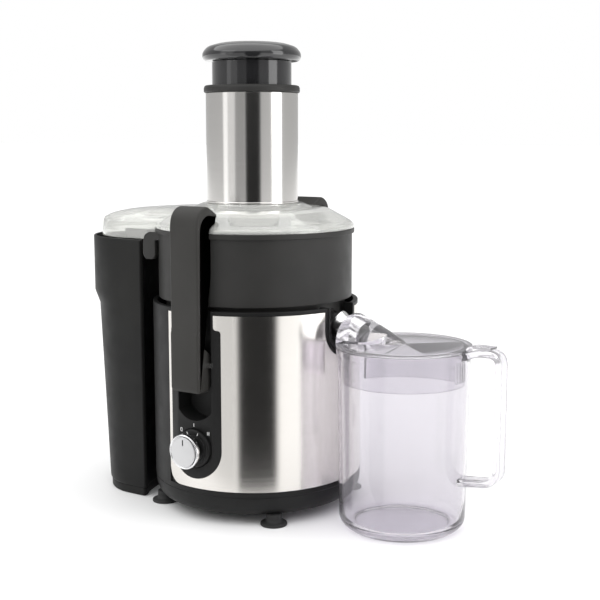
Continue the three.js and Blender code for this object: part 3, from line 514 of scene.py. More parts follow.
def pocket_outline(grow, top):
    """The arm's pocket as [across, up]: straight sides and a shallow dished foot, an arc of large radius."""
    half = POCKET_HALF + grow
    sag = POCKET_CORNER - POCKET_LOW
    radius = (POCKET_HALF**2 + sag**2) / (2 * sag)
    a = np.linspace(-1, 1, 25) * math.asin(half / (radius + grow))
    dish = np.column_stack([(radius + grow) * np.sin(a), POCKET_LOW + radius - (radius + grow) * np.cos(a)])
    return np.concatenate([dish, [(half, top), (-half, top)]])


def arch_outline(grow):
    """The spout recess as [across, up]: a half circle with straight sides that run out at the top."""
    half = ARCH_HALF + grow
    ends = [(half, BASE_TOP + 3), (-half, BASE_TOP + 3)]
    return np.concatenate([arc((0, ARCH_CENTRE), half, 180, 360), ends])


def bar(name, outline, low, high, degrees, edge=0.0):
    """A plate that points outwards from the shaft at that angle."""
    return solid(name, skin(facing(plate(outline, low, high, edge), degrees)))


def pocket_space(name, grow, degrees, top):
    """The room inside a pocket, deep where the arm's foot sits and shallower above."""
    deep = bar(name, pocket_outline(grow, POCKET_STEP + grow), POCKET_DEEP - grow, OUTSIDE, degrees)
    half = POCKET_HALF + grow
    low = POCKET_STEP - 4
    upper = np.array([(-half, low), (half, low), (half, top), (-half, top)])
    return machine(deep, "UNION", bar("upper", upper, POCKET_SHALLOW - grow, OUTSIDE, degrees))


print(f"panel: {2 * PANEL_HALF:.1f} mm wide from {PANEL_LOW:.1f} mm up, knob at {KNOB_Z:.1f} mm")

# %% Base casing
CLEARANCE = 0.3
SEAM_Z, SEAM_DEEP = BAND - 5.0, 0.5
DECK_LOW, DECK_TOP = 154.7, 157.7
skirt = [
    (BASE_R - 5.2, BASE_LOW), (BASE_R - 2.3, BASE_LOW + 4), (BASE_R - 0.6, BASE_LOW + 10),
    (BASE_R - 0.2, SEAM_Z - 0.6), (BASE_R - 0.2 - SEAM_DEEP, SEAM_Z), (BASE_R - 0.1, SEAM_Z + 0.6),
    (BASE_R, BAND - 1),
]
wall_profile = soften(
    skirt + [
        (BASE_R, BASE_TOP), (BASE_R - 4.4, BASE_TOP), (BASE_R - 4.4, DECK_TOP), (20, DECK_TOP),
        (20, DECK_LOW), (BASE_R - 4, DECK_LOW), (BASE_R - 4, BAND), (BASE_R - 8, BASE_LOW + 3),
        (BASE_R - 8, BASE_LOW),
    ],
    [1.5, 2, 2, 0.2, 0.3, 0.2, 0.5, 0.9, 0.9, 1, 1, 1, 1, 1, 1, 0.5],
)
base_casing = lathe("base_casing", wall_profile, loop=True)


def sheet_ring(inner, outer, low, high, end, corner=0.0, steps=220):
    """A rolled sheet between the angles -end and end: its section [radius, height] goes round the shaft,
    and near each end its lower edge rises along a quarter circle to round the corner."""
    a = np.radians(np.linspace(-end, end, steps))
    from_end = (math.radians(end) - np.abs(a)) * outer
    into = np.clip(corner - from_end, 0, corner)
    foot = low + corner - np.sqrt(corner**2 - into**2)
    r = np.array([outer, outer, inner, inner])[:, None] + 0 * a
    z = np.stack([foot, np.full_like(a, high), np.full_like(a, high), foot])
    return np.stack([r * np.cos(a), r * np.sin(a), z], -1).transpose(1, 0, 2)


seat_inner = BASE_R - WRAP_THICK - CLEARANCE
seat_top = BASE_TOP - BORDER + CLEARANCE
seat = solid("seat", skin(sheet_ring(seat_inner, OUTSIDE, BAND - CLEARANCE, seat_top, WRAP_END + 0.3)))
machine(seat, "DIFFERENCE", bar("border", arch_outline(BORDER - CLEARANCE), 80, BASE_R + 5, SPOUT))
cuts = [pocket_space("pocket", POCKET_WALL + CLEARANCE, side, BASE_TOP + 3) for side in (FRONT, REAR)]
seat_outline = panel_outline(CLEARANCE)
cuts += [bar("panel_seat", seat_outline, BASE_R - 2.4, OUTSIDE, side) for side in (FRONT, REAR)]
cuts.append(bar("recess", arch_outline(CLEARANCE), ARCH_BACK - CLEARANCE, OUTSIDE, SPOUT))
machine(base_casing, "DIFFERENCE", seat, *cuts)
fit(base_casing, "base", "dark_plastic", casing, "motor_housing")

# %% [markdown]
# The wrap is a thin brushed sheet with its lower back corners rounded. It stops short of the casing's top
# edge and of the spout's recess, so the dark moulding frames it there, and it is cut away round both panels.
#
# %% Steel wrap
jacket = sheet_ring(BASE_R - WRAP_THICK, BASE_R, BAND, BASE_TOP - BORDER, WRAP_END, corner=14)
wrap = solid("steel_jacket", skin(jacket))
openings = [bar("panel_hole", panel_outline(0.2), 80, OUTSIDE, side) for side in (FRONT, REAR)]
machine(wrap, "DIFFERENCE", *openings, bar("arch_hole", arch_outline(BORDER), 80, OUTSIDE, SPOUT))
fit(wrap, "base", "brushed_steel", steel, "steel_wrap")

# %% [markdown]
# Each side has the same moulded panel: a skin that follows the base's curve, with a deep pocket for the
# arm's foot. The pocket is a box with walls, so the panel is joined to that box first and the room inside
# is cut out of both together.
#
# %% Side panels
def side_panel(name, side, node, hole):
    """The panel's skin and pocket box joined, then hollowed; the edges are eased like a moulding's."""
    back, low = BASE_R - PANEL_THICK, PANEL_LOW - 5
    section = [(back, low), (BASE_R, low), (BASE_R, BASE_TOP), (back, BASE_TOP)]
    panel = lathe(name, section, FINE_SIDES, loop=True)
    machine(panel, "INTERSECT", bar("outline", panel_outline(0), 70, OUTSIDE, side))
    box = pocket_space("box", POCKET_WALL, side, BASE_TOP - 0.4)
    machine(box, "INTERSECT", drum("core", BASE_R, 0, BASE_TOP, FINE_SIDES))
    machine(panel, "UNION", box)
    bore = facing(plate(arc((0, KNOB_Z), hole, 0, 360, 65)[:-1], 80, OUTSIDE), side)
    machine(panel, "DIFFERENCE", pocket_space("room", 0, side, BASE_TOP + 3), solid("bore", skin(bore)))
    ease(panel, 0.5, 2, 50)
    fit(panel, "base", "dark_plastic", panel_plastic, node)


side_panel("front_arm_panel", FRONT, "control_panel", 17.8)
side_panel("rear_arm_panel", REAR, "rear_panel", 8.8)

# %% [markdown]
# The spout comes out through an arched recess with a dark frame. The frame is the space between two arches
# of different size, trimmed to the base's curve.
#
# %% Spout recess
recess_frame = bar("spout_recess_frame", arch_outline(0), ARCH_BACK, BASE_R + 0.5, SPOUT)
throat = bar("throat", arch_outline(-ARCH_BORDER), ARCH_BACK + 1.8, OUTSIDE, SPOUT)
machine(recess_frame, "DIFFERENCE", throat)
machine(recess_frame, "INTERSECT", drum("core", BASE_R + 0.6, 100, BASE_TOP - 0.2, FINE_SIDES))
bowl_room = room("bowl_room", (0, 100), (-30, 30), (157.4, 200))
back_room = bar("back_room", arch_outline(-ARCH_BORDER), ARCH_BACK - 2, ARCH_BACK + 4, SPOUT)
machine(recess_frame, "DIFFERENCE", machine(back_room, "INTERSECT", bowl_room))
fit(recess_frame, "base", "dark_plastic", panel_plastic, "spout_trim")

# %% [markdown]
# Four rubber feet carry the machine. Each is a short post with a broad flange; the flange is dished a
# little underneath, so it grips like a suction cup. Their places are the frame's.
#
# %% Feet
def foot_centre(node):
    """Middle of a foot's box."""
    low, high = node_mm(node)
    return (low[:2] + high[:2]) / 2


FOOT_R, STEM_R = 11.8, 6.8
for number in range(1, 5):
    centre = foot_centre(f"foot_{number}")
    profile = soften(
        [(0, 0.8), (FOOT_R - 4, 0.8), (FOOT_R - 2.5, 0), (FOOT_R, 0), (FOOT_R, 2.4), (STEM_R + 1.2, 3.4),
         (STEM_R, 5), (STEM_R, BASE_LOW - 0.3), (0, BASE_LOW - 0.3)],
        [0, 1, 0.6, 0.8, 0.9, 1.2, 1, 0.4, 0], closed=False,
    )
    rubber_foot = lathe(f"rubber_foot_{number}", profile, 64, centre)
    fit(rubber_foot, "base", "black_rubber", rubber, f"foot_{number}")

# %% [markdown]
# ## Bowl and spout
#
# The juice bowl drops into the base. Only its outer ring and rim show, but the clear lid lets the light in,
# so the inside is turned too, with the hub in the middle, the tray that throws pulp into the container and
# the two hooks beside it.
#
# %% Juice bowl
bowl_low, bowl_high = node_mm("juice_bowl")
BOWL_TOP = bowl_high[2]
BOWL_R, BOWL_RIM, BOWL_BOTTOM, BOWL_STEP = 88.4, bowl_high[0], 191.2, 249.3
BOWL_IN = BOWL_R - 3
TUB_R, TUB_WALL, TUB_LOW = 82.0, 2.5, 158.0
HUB_R, HUB_TOP = 26.0, 186.0
TRAY_HALF, TRAY_WALL, TRAY_END = 50.0, 2.5, bowl_low[0]
BIN_RIM = node_mm("pulp_container")[1][2]
bowl_profile = soften(
    [(TUB_R, TUB_LOW), (TUB_R, BOWL_BOTTOM), (BOWL_R, BOWL_BOTTOM), (BOWL_R, BOWL_STEP),
     (BOWL_RIM, BOWL_STEP), (BOWL_RIM, BOWL_TOP), (BOWL_RIM - 3.2, BOWL_TOP), (BOWL_IN, BOWL_STEP),
     (BOWL_IN, BOWL_BOTTOM + 4.5), (TUB_R - TUB_WALL, BOWL_BOTTOM + TUB_WALL),
     (TUB_R - TUB_WALL, TUB_LOW + TUB_WALL), (HUB_R, TUB_LOW + 5), (HUB_R, HUB_TOP),
     (HUB_R - TUB_WALL, HUB_TOP), (HUB_R - TUB_WALL, TUB_LOW)],
    [0.5, 0.5, 0.9, 0.5, 0.5, 0.8, 0.8, 1, 3, 3, 8, 4, 0.8, 0.8, 0.5],
)
bowl = lathe("juice_bowl_moulding", bowl_profile, loop=True)
LIP = BIN_RIM + 0.5
channel_half = TRAY_HALF - TRAY_WALL
channel_y, channel_z = (-channel_half, channel_half), (LIP + TRAY_WALL, BOWL_TOP + 3)
machine(bowl, "DIFFERENCE", room("notch", (-100, -60), channel_y, channel_z))
tray = room("tray", (TRAY_END, -72), (-TRAY_HALF, TRAY_HALF), (LIP, LIP + 8))
machine(tray, "DIFFERENCE", room("channel", (TRAY_END - 1, -60), channel_y, channel_z))
machine(tray, "DIFFERENCE", drum("keep", BOWL_IN, 200, 270))
machine(bowl, "UNION", tray)
HOOK = [(-78.5, 229.5), (-75.5, 225.5), (-67, 225.5), (-64, 229.5), (-64, 243), (-57, 243), (-57, 250.3),
        (-71.5, 250.3), (-76.5, 247.3), (-78.5, 241.3)]
for side in (-1, 1):
    upright = plate(soften(HOOK, 1.2, 4), 61, 66, 0.8)
    hook = solid("hook", skin(upright[..., [0, 2, 1]] * (1, side, 1)))
    machine(hook, "DIFFERENCE", drum("keep", BOWL_IN, 200, 270))
    machine(bowl, "UNION", hook)

# %% [markdown]
# The spout is a thin steel tube that slopes down and out of the bowl. Its own axis is tilted, so it is
# turned upright at the origin and then rolled about Y and moved to its tip.
#
# %% Spout
SPOUT_R, SPOUT_WALL, SPOUT_SLOPE, SPOUT_LENGTH = 9.1, 0.8, 20.0, 41.0
spout_low, spout_high = node_mm("spout_tube")
SPOUT_TIP = (113.4, 163.5)


def along_spout(points):
    """Tilts a piece made along z so that it points out and down the spout, ending at the tip."""
    tilt = math.radians(90 + SPOUT_SLOPE)
    x, y, z = points[..., 0], points[..., 1], points[..., 2]
    out = x * math.cos(tilt) + z * math.sin(tilt) + SPOUT_TIP[0]
    up = -x * math.sin(tilt) + z * math.cos(tilt) + SPOUT_TIP[1]
    return np.stack([out, y, up], -1)


bore = spin([(0, -SPOUT_LENGTH - 4), (SPOUT_R + 0.3, -SPOUT_LENGTH - 4), (SPOUT_R + 0.3, 0), (0, 0)], 64)
machine(bowl, "DIFFERENCE", solid("outlet", skin(along_spout(bore))))
fit(bowl, "base", "dark_plastic", ring_plastic, "juice_bowl")
tube_profile = soften(
    [(SPOUT_R, 0), (SPOUT_R - SPOUT_WALL, 0), (SPOUT_R - SPOUT_WALL, -SPOUT_LENGTH), (SPOUT_R, -SPOUT_LENGTH),
     (SPOUT_R, -28), (12, -26), (12, -24.5), (SPOUT_R, -18)],
    [0.35, 0.35, 0.3, 0.3, 0.5, 0.6, 0.6, 3],
)
spout = solid("juice_spout", skin(along_spout(spin(tube_profile, 96)), loop=True))
fit(spout, "base", "polished_steel", bright_steel, "spout_tube")
print(f"spout: from {spout_low[0]:.1f} to {spout_high[0]:.1f} mm out, tip {SPOUT_TIP[1]:.1f} mm up")

# %% [markdown]
# Inside the bowl the filter basket spins: a cone of etched mesh with a turned rim, and the grater disc at
# its foot. The disc's teeth are low wedges in rings, each a small plate with rolled edges.
#
# %% Filter basket and grater
basket_low, basket_high = node_mm("filter_basket")
BASKET_RIM = basket_high[0]
BASKET_FOOT, GRATER_R = 50.0, 44.0
TOOTH_ROWS, TEETH, FIRST_ROW, ROW_STEP = 4, 24, 12.0, 8.5
basket_profile = soften(
    [(22, basket_low[2]), (BASKET_FOOT, basket_low[2]), (BASKET_RIM - 4, basket_high[2] - 4),
     (BASKET_RIM, basket_high[2] - 3), (BASKET_RIM, basket_high[2]), (BASKET_RIM - 6, basket_high[2]),
     (BASKET_FOOT - 1, basket_low[2] + 2), (22, basket_low[2] + 2)],
    [0.3, 2, 1, 0.6, 0.8, 1, 2, 0.3],
)
basket = lathe("filter_basket_mesh", basket_profile, 128, loop=True)
disc_low = basket_low[2] + 2.3
disc_profile = soften(
    [(0, disc_low), (GRATER_R, disc_low), (GRATER_R, disc_low + 2), (8, disc_low + 2), (5, disc_low + 4.2),
     (0, disc_low + 4.2)],
    [0, 0.4, 0.6, 1, 1, 0], closed=False,
)
tooth_outline = soften([(-2, -0.6), (2, -0.6), (2, 0.6), (-2, 0.6)], 0.3, 3)
tooth = plate(tooth_outline, disc_low + 1, disc_low + 3.6, 0.4, 2)
teeth = []
for row in range(TOOTH_ROWS):
    for step in range(TEETH):
        a = 2 * math.pi * (step + 0.5 * (row % 2)) / TEETH
        teeth.append(skin(turn_plan(tooth + (FIRST_ROW + ROW_STEP * row, 0, 0), a)))
disc = solid("grater_plate", skin(spin(disc_profile, 96)), *teeth)

# %% [markdown]
# ## Lid, chute and pusher
#
# The lid is one clear moulding: a low cap over the basket, a hood over the pulp container and an upright
# pipe for fruit. A clear part shows its inside as much as its outside, so it needs a true wall: the outer
# form is built, the same form one wall smaller is cut from it, and the pipe is joined and bored.
#
# %% Clear lid
lid_low, lid_high = node_mm("clear_lid")
LID_R, LID_WALL, LID_FLAT, LID_TOP = 90.0, 2.4, 66.0, 271.8
HOOD_HALF, HOOD_END, HOOD_CENTRE, HOOD_ROOT = 58.5, lid_low[0], -108.0, -30.0
HOOD_LOW, HOOD_HIGH = lid_low[2], 269.5
CHUTE_X = (node_mm("chute_rim")[0][0] + node_mm("chute_rim")[1][0]) / 2
BORE, PIPE_WALL = 37.7, 2.5
CHUTE_TOP = lid_high[2]
SLEEVE_LOW = node_mm("chute_sleeve")[0][2]


def cap_form(wall, low):
    """Profile of the cap, drawn in by a wall: an upright edge, a slope and a flat top."""
    edge = BOWL_TOP + 3.5
    return soften(
        [(0, low), (LID_R - wall, low), (LID_R - wall, edge - wall * 0.5),
         (LID_R - 4 - wall, edge + 3.2 - wall * 0.8), (LID_FLAT + 1 - wall * 0.3, LID_TOP - 1.2 - wall),
         (LID_FLAT - 4 - wall * 0.3, LID_TOP - wall), (0, LID_TOP - wall)],
        [0, 0.3, 1.5, 1.5, 2, 2, 0], closed=False,
    )


def hood_form(wall, low):
    """Rings of the hood: its D-shaped plan is drawn in towards the chute as it rises, steeply at first and
    then almost level, so that the end is domed and the top is nearly flat."""
    length = HOOD_CENTRE - HOOD_END - wall
    a = np.linspace(np.pi / 2, 1.5 * np.pi, 49)
    end = np.column_stack([HOOD_CENTRE + length * np.cos(a), (HOOD_HALF - wall) * np.sin(a)])
    plan = np.concatenate([[(HOOD_ROOT, HOOD_HALF - wall)], end, [(HOOD_ROOT, wall - HOOD_HALF)]])
    slope = [(0, -0.3), (0, 0.3), (2.5, 0.62), (13, 0.78), (34, 0.93), (62, 1.0)]
    rise = soften(slope, [0, 0.2, 3, 6, 9, 0], 7, closed=False)
    height = HOOD_LOW + (HOOD_HIGH - HOOD_LOW) * rise[:, 1] - wall
    height[0] = low
    drawn_in = rise[:, 0] / (HOOD_ROOT - HOOD_END)
    x = HOOD_ROOT + (plan[:, 0] - HOOD_ROOT)[None, :] * (1 - drawn_in)[:, None]
    y = plan[:, 1][None, :] * (1 - drawn_in * 0.75)[:, None]
    return np.stack([x, y, height[:, None] + 0 * x], -1)


pipe = (CHUTE_X, 0)
lid = lathe("lid_moulding", cap_form(0, HOOD_LOW))
machine(lid, "UNION", solid("hood", skin(hood_form(0, HOOD_LOW))))
hollow = lathe("hollow", cap_form(LID_WALL, HOOD_LOW - 5))
machine(hollow, "UNION", solid("hood_room", skin(hood_form(LID_WALL, HOOD_LOW - 5))))
machine(lid, "DIFFERENCE", hollow)
R = BORE + PIPE_WALL
pipe_profile = soften(
    [(0, 262), (R, 262), (R, 266), (R + 14.5, 266), (R + 14.5, LID_TOP + 0.2), (R + 5, SLEEVE_LOW - 0.3),
     (R, SLEEVE_LOW - 0.3), (R, CHUTE_TOP), (0, CHUTE_TOP)],
    [0, 0.5, 0.5, 0.5, 1.2, 1.2, 0.5, 0.6, 0], closed=False,
)
machine(lid, "UNION", lathe("pipe", pipe_profile, centre=pipe))
machine(lid, "DIFFERENCE", drum("bore", BORE, 255, CHUTE_TOP + 5, centre=pipe))
machine(lid, "DIFFERENCE", drum("bowl_room", BOWL_RIM + 0.4, HOOD_LOW - 8, BOWL_TOP + 0.3))
fit(lid, "base", "lid_clear", lid_clear, "clear_lid")

# %% [markdown]
# The steel sleeve slips over the clear pipe and a dark ring caps it. Both are simple turned parts, and it
# is their rolled edges that make them look made.
#
# %% Sleeve and rim
sleeve_low, sleeve_high = node_mm("chute_sleeve")
rim_low, rim_high = node_mm("chute_rim")
RIM_R = rim_high[0] - CHUTE_X
SLEEVE_IN = R + 0.3
sleeve_profile = soften(
    [(SLEEVE_IN, sleeve_low[2]), (SLEEVE_IN + 1.5, sleeve_low[2]), (SLEEVE_IN + 1.5, sleeve_low[2] + 1.2),
     (SLEEVE_IN + 1, sleeve_low[2] + 1.6), (SLEEVE_IN + 1, sleeve_high[2]), (SLEEVE_IN, sleeve_high[2])],
    [0.3, 0.3, 0.3, 0.3, 0.3, 0.3],
)
sleeve = lathe("chute_steel_sleeve", sleeve_profile, 192, pipe, loop=True)
fit(sleeve, "base", "brushed_steel", sleeve_steel, "chute_sleeve")
rim_profile = soften(
    [(BORE + 0.5, rim_low[2]), (RIM_R - 0.8, rim_low[2]), (RIM_R, rim_low[2] + 0.9), (RIM_R, rim_high[2] - 2),
     (RIM_R - 1.2, rim_high[2]), (BORE + 0.5, rim_high[2])],
    [0.4, 0.5, 0.5, 1.2, 1, 0.6],
)
dark_ring = lathe("chute_dark_ring", rim_profile, centre=pipe, loop=True)
fit(dark_ring, "base", "dark_plastic", ring_plastic, "chute_rim")

# %% [markdown]
# The pusher is a hollow glossy cup that slides in the chute, closed by a domed cap. The cap's edge is a
# full half round, and the crown is a shallow curve that a lamp runs over in one long highlight.
#
# %% Pusher
pusher_low, pusher_high = node_mm("pusher_body")
cap_high = node_mm("pusher_cap")[1]
PUSHER_R = pusher_high[0] - CHUTE_X
CAP_R = cap_high[0] - CHUTE_X
NECK = pusher_high[2]
cup_profile = soften(
    [(0, pusher_low[2]), (PUSHER_R - 1.5, pusher_low[2]), (PUSHER_R, pusher_low[2] + 2), (PUSHER_R, NECK),
     (PUSHER_R - 2.5, NECK), (PUSHER_R - 2.5, pusher_low[2] + 2.5), (0, pusher_low[2] + 2.5)],
    [0, 1.5, 1.5, 0.5, 0.5, 1.5, 0], closed=False,
)
pusher_cup = lathe("pusher_cup", cup_profile, 128, pipe)
fit(pusher_cup, "pusher", "gloss_black", gloss_black, "pusher_body")
PLUG = PUSHER_R - 2.8
under = NECK + 0.3
crown = soften(
    [(0, under - 5), (PLUG, under - 5), (PLUG, under), (CAP_R - 2.2, under), (CAP_R, under + 3),
     (CAP_R, under + 7), (CAP_R - 4, cap_high[2] - 4.6), (CAP_R - 16, cap_high[2] - 1), (0, cap_high[2])],
    [0, 0.5, 0.3, 1.5, 1.6, 2.4, 4, 10, 0], closed=False,
)
pusher_crown = lathe("pusher_crown", crown, centre=pipe)
fit(pusher_crown, "pusher", "gloss_black", gloss_black, "pusher_cap")

# %% [markdown]
# ## Locking arms
#
# An arm rises from its pocket, swells past the bowl, and hooks over the lid's shoulder. It is one thick
# outline seen from the side, carried across its width, with every edge rolled over by more than a
# millimetre. Both arms are the same moulding turned round.
#
# %% Arms
arm_low, arm_high = node_mm("front_locking_arm")
ARM_HALF = arm_high[0]
ARM_OUT = -arm_low[1]
ARM_LOW, ARM_TOP = arm_low[2], arm_high[2]
OUTER = ARM_OUT - 1
ARM_SIDE = [
    (OUTER - 1, ARM_LOW), (ARM_OUT, ARM_LOW + 3), (ARM_OUT, 169), (OUTER, 172), (OUTER, ARM_TOP - 16),
    (OUTER - 2, ARM_TOP - 8), (OUTER - 7, ARM_TOP - 2.5), (OUTER - 15, ARM_TOP), (85, ARM_TOP - 2.8),
    (77, ARM_TOP - 7.5), (77, ARM_TOP - 11), (81, ARM_TOP - 12), (91, ARM_TOP - 9.5), (97.5, ARM_TOP - 14),
    (99.5, ARM_TOP - 20), (99.5, 159), (89.5, 152), (86.5, 148), (86.5, ARM_LOW + 5), (90.5, ARM_LOW),
]
ARM_ROUND = [1, 1.2, 1.5, 1.5, 4, 4, 4, 5, 3, 1.4, 1.2, 2, 4, 3, 4, 3, 3, 3, 2, 2]
for name, side, node, body in (
    ("front_arm_bar", FRONT, "front_locking_arm", "front_arm"),
    ("rear_arm_bar", REAR, "rear_locking_arm", "rear_arm"),
):
    bar_rings = plate(soften(ARM_SIDE, ARM_ROUND), -ARM_HALF, ARM_HALF, 2.2, 5)
    arm = solid(name, skin(facing(bar_rings[..., [2, 1, 0]], side)))
    fit(arm, body, "dark_plastic", arm_plastic, node, angle=60)

# %% [markdown]
# ## Speed knob
#
# The knob is a bright turned cup with a satin disc let into its face. It stands on a dark bezel. One short
# line on the face points to plain tick marks printed on the panel.
#
# %% Knob
FACE_R = node_mm("knob_body")[1][0]
KNOB_FRONT = -node_mm("knob_face")[0][1]
BEZEL_R = node_mm("knob_bezel")[1][0]
BEZEL_FRONT = -node_mm("knob_bezel")[0][1]


def on_knob_axis(points):
    """Turns a part made along z so that it points out of the front, on the knob's axis."""
    return facing(points, FRONT) + (0, 0, KNOB_Z)


def turned_knob(name, profile, reach, sides=96):
    """A turned part on the knob's axis, from a half profile [radius, outwards]."""
    return solid(name, skin(on_knob_axis(spin(soften(profile, reach, closed=False), sides))))


bezel_profile = [
    (0, BEZEL_FRONT - 6), (BEZEL_R, BEZEL_FRONT - 6), (BEZEL_R, BEZEL_FRONT - 1.2),
    (BEZEL_R - 1.4, BEZEL_FRONT), (13, BEZEL_FRONT), (12, BEZEL_FRONT - 0.8), (0, BEZEL_FRONT - 0.8),
]
bezel = turned_knob("knob_ring", bezel_profile, [0, 0.4, 0.8, 0.8, 0.5, 0.5, 0])
fit(bezel, "base", "black_plastic", panel_plastic, "knob_bezel")
BACK = BEZEL_FRONT + 0.8
SHELL_FRONT = KNOB_FRONT - 0.9
cup_profile = [
    (0, BASE_R - 5.5), (4, BASE_R - 5.5), (4, BACK), (9, BACK), (10, BACK + 3),
    (FACE_R - 0.7, SHELL_FRONT - 5.5), (FACE_R, SHELL_FRONT - 4), (FACE_R, SHELL_FRONT),
    (FACE_R - 1.0, SHELL_FRONT + 0.5), (FACE_R - 1.8, SHELL_FRONT - 0.3), (0, SHELL_FRONT - 0.3),
]
cup = turned_knob("knob_cup", cup_profile, [0, 0.3, 0.3, 0.5, 2, 1.5, 1.2, 0.8, 0.4, 0.3, 0])
fit(cup, "knob", "knob_chrome", chrome, "knob_body")
face_profile = [
    (0, KNOB_FRONT - 0.9), (FACE_R - 2.2, KNOB_FRONT - 0.9), (FACE_R - 2.2, KNOB_FRONT - 0.3),
    (FACE_R - 2.8, KNOB_FRONT), (0, KNOB_FRONT),
]
face_disc = turned_knob("knob_disc", face_profile, [0, 0.1, 0.3, 0.4, 0])
fit(face_disc, "knob", "knob_satin", satin, "knob_face")


def printed(centre, size, turn_degrees, out, thick=0.12):
    """A printed bar [across, up] of the given size, turned in its plane, lying on a surface at `out`."""
    half = np.array(size) / 2
    corners = soften(np.array([(-1, -1), (1, -1), (1, 1), (-1, 1)]) * half, min(half) * 0.8, 4)
    outline = turn_plan(corners, math.radians(turn_degrees)) + centre
    return skin(facing(plate(outline, out, out + thick), FRONT) + (0, 0, KNOB_Z))


pointer = solid("knob_pointer", printed((0, FACE_R - 7), (1.1, 5.4), 0, KNOB_FRONT - 0.04))
fit(pointer, "knob", "black_plastic", panel_plastic)
MARK_RING = BEZEL_R + 3.6
marks = []
UPRIGHT, LEVEL, SUNK, INK_THICK = (0.55, 3.0), (2.2, 0.55), 0.14, 0.3
for turn_to, beside, above in ((-45, (-0.9, 0.9), (-1.4, 1.4)), (0, (0,), ()), (45, (-0.8, 0.8), ())):
    a = math.radians(turn_to)
    x, y = MARK_RING * math.sin(a), MARK_RING * math.cos(a)
    out = math.sqrt(BASE_R**2 - x**2) - SUNK
    marks += [printed((x + by, y), UPRIGHT, 0, out, INK_THICK) for by in beside]
    marks += [printed((x, y + by), LEVEL, 0, out, INK_THICK) for by in above]
for tick in (-22.5, 22.5):
    a = math.radians(tick)
    at = ((BEZEL_R - 2.6) * math.sin(a), (BEZEL_R - 2.6) * math.cos(a))
    marks.append(printed(at, (0.6, 2.6), -tick, BEZEL_FRONT - 0.04))
fit(solid("speed_marks", *marks), "base", "knob_satin", ink)

# %% [markdown]
# The basket's steel is etched right through with thousands of tiny round holes. They are far too many to
# model, so a Voronoi pattern gives each one a dip in the relief and a centre painted dark, painted shade
# for the look through the hole into the basket.
#
# %% Etched mesh
def etched(name, colour, spacing):
    """Brushed sheet with rows of pinholes, about `spacing` millimetres apart, each centre painted dark as
    painted shade for the look through the hole.
    """
    material, tree, shader = finish(name, colour, 0.3, 1.0)
    place = tree.nodes.new("ShaderNodeTexCoord")
    cells = tree.nodes.new("ShaderNodeTexVoronoi")
    cells.inputs["Scale"].default_value = 1 / (spacing * MM)
    cells.inputs["Randomness"].default_value = 0.15
    tree.links.new(place.outputs["Object"], cells.inputs["Vector"])
    solid_part = spread(tree, cells.outputs["Distance"], 0, 1, (0.25, 0.4))
    # painted shade: each hole's centre is near black, the shade seen through the hole, not a colour of the
    # steel
    dark = tuple(c * 0.08 for c in colour)
    tree.links.new(blend_colours(tree, solid_part, dark, colour), shader.inputs["Base Color"])
    tree.links.new(spread(tree, noise(tree, 120, 3), 0.25, 0.4), shader.inputs["Roughness"])
    relief(tree, shader, solid_part, 0.15, 0.8)
    return material


mesh_steel = etched("etched_mesh", (0.62, 0.62, 0.61), 1.4)
disc_steel = polished("grater_steel", (0.66, 0.66, 0.66), 0.22)
fit(basket, "rotor", "mesh_steel", mesh_steel, "filter_basket")
fit(disc, "rotor", "mesh_steel", disc_steel, "grater_disc")

# %% [markdown]
# ## Pulp container
#
# The container is a deep open box with a half-round outer end, a hollow inner side that fits the base, and
# walls that draw in below a wide collar. Its plan never changes: each level is the same outline, scaled
# about a line near the base. That makes it a loft, one ring of points for each level.
#
# %% Container
bin_high = node_mm("pulp_container")[1]
BIN_HALF, BIN_INNER, BIN_CENTRE, BIN_WALL = bin_high[1], 103.2, -112.0, 2.5
COLLAR, WAIST, BIN_BASE, PIVOT = 189.5, 178.0, node_mm("container_base")[1][2], -81.0
WAIST_SHARE, FOOT_SHARE = 0.921, 0.8


def bin_share(z):
    """How far out a level reaches, as a share of the rim's: 1 down to the collar, a short taper to the
    waist, then a long straight taper to the foot."""
    return np.interp(z, [0, WAIST, COLLAR, 1000], [FOOT_SHARE, WAIST_SHARE, 1, 1])


def bin_plan(wall):
    """Straight sides, a half-round outer end and an inner side that is an arc about the shaft."""
    half, inner = BIN_HALF - wall, BIN_INNER + wall
    outer = arc((BIN_CENTRE, 0), half, 90, 270, 49)
    edge = math.degrees(math.asin((half - 3) / inner))
    inside = arc((0, 0), inner, 180 + edge, 180 - edge, 41)
    near_corner, far_corner = (inside[0, 0] - 1, -half), (inside[-1, 0] - 1, half)
    near_round = soften([outer[-1], near_corner, inside[0]], 4, 5, closed=False)[1:-1]
    far_round = soften([inside[-1], far_corner, outer[0]], 4, 5, closed=False)[1:-1]
    return np.concatenate([outer, near_round, inside, far_round])


def bin_rings(levels):
    """Rings of the loft for levels of [wall, height]: x is scaled about the pivot by the level's share."""
    rings = []
    for wall, z in levels:
        plan = bin_plan(wall)
        x = PIVOT + (plan[:, 0] - PIVOT) * bin_share(z)
        rings.append(np.column_stack([x, plan[:, 1], np.full(len(plan), z)]))
    return np.stack(rings)


RIM = bin_high[2]
FOOT = BIN_BASE + 0.3
outside = [(0.8, FOOT), (0.2, FOOT + 0.6), (0, FOOT + 2)]
outside += [(0, z) for z in np.linspace(FOOT + 6, WAIST - 4, 12)]
outside += [
    (0, WAIST - 1.5), (0.05, WAIST), (0, WAIST + 3), (0, COLLAR - 2), (0, COLLAR + 0.5), (0, COLLAR + 3),
    (0, RIM - 1.2), (0.35, RIM - 0.35), (1.0, RIM),
]
inside = [
    (BIN_WALL - 0.8, RIM), (BIN_WALL - 0.15, RIM - 0.5), (BIN_WALL, RIM - 1.5), (BIN_WALL, COLLAR),
    (BIN_WALL, WAIST), (BIN_WALL, FOOT + 8), (BIN_WALL + 1.5, FOOT + 4), (BIN_WALL + 5, FOOT + 2.5),
]
container = solid("container_shell", skin(bin_rings(outside + inside)))
fit(container, "container", "container_plastic", bin_plastic, "pulp_container", angle=40)
INSET = 1.2
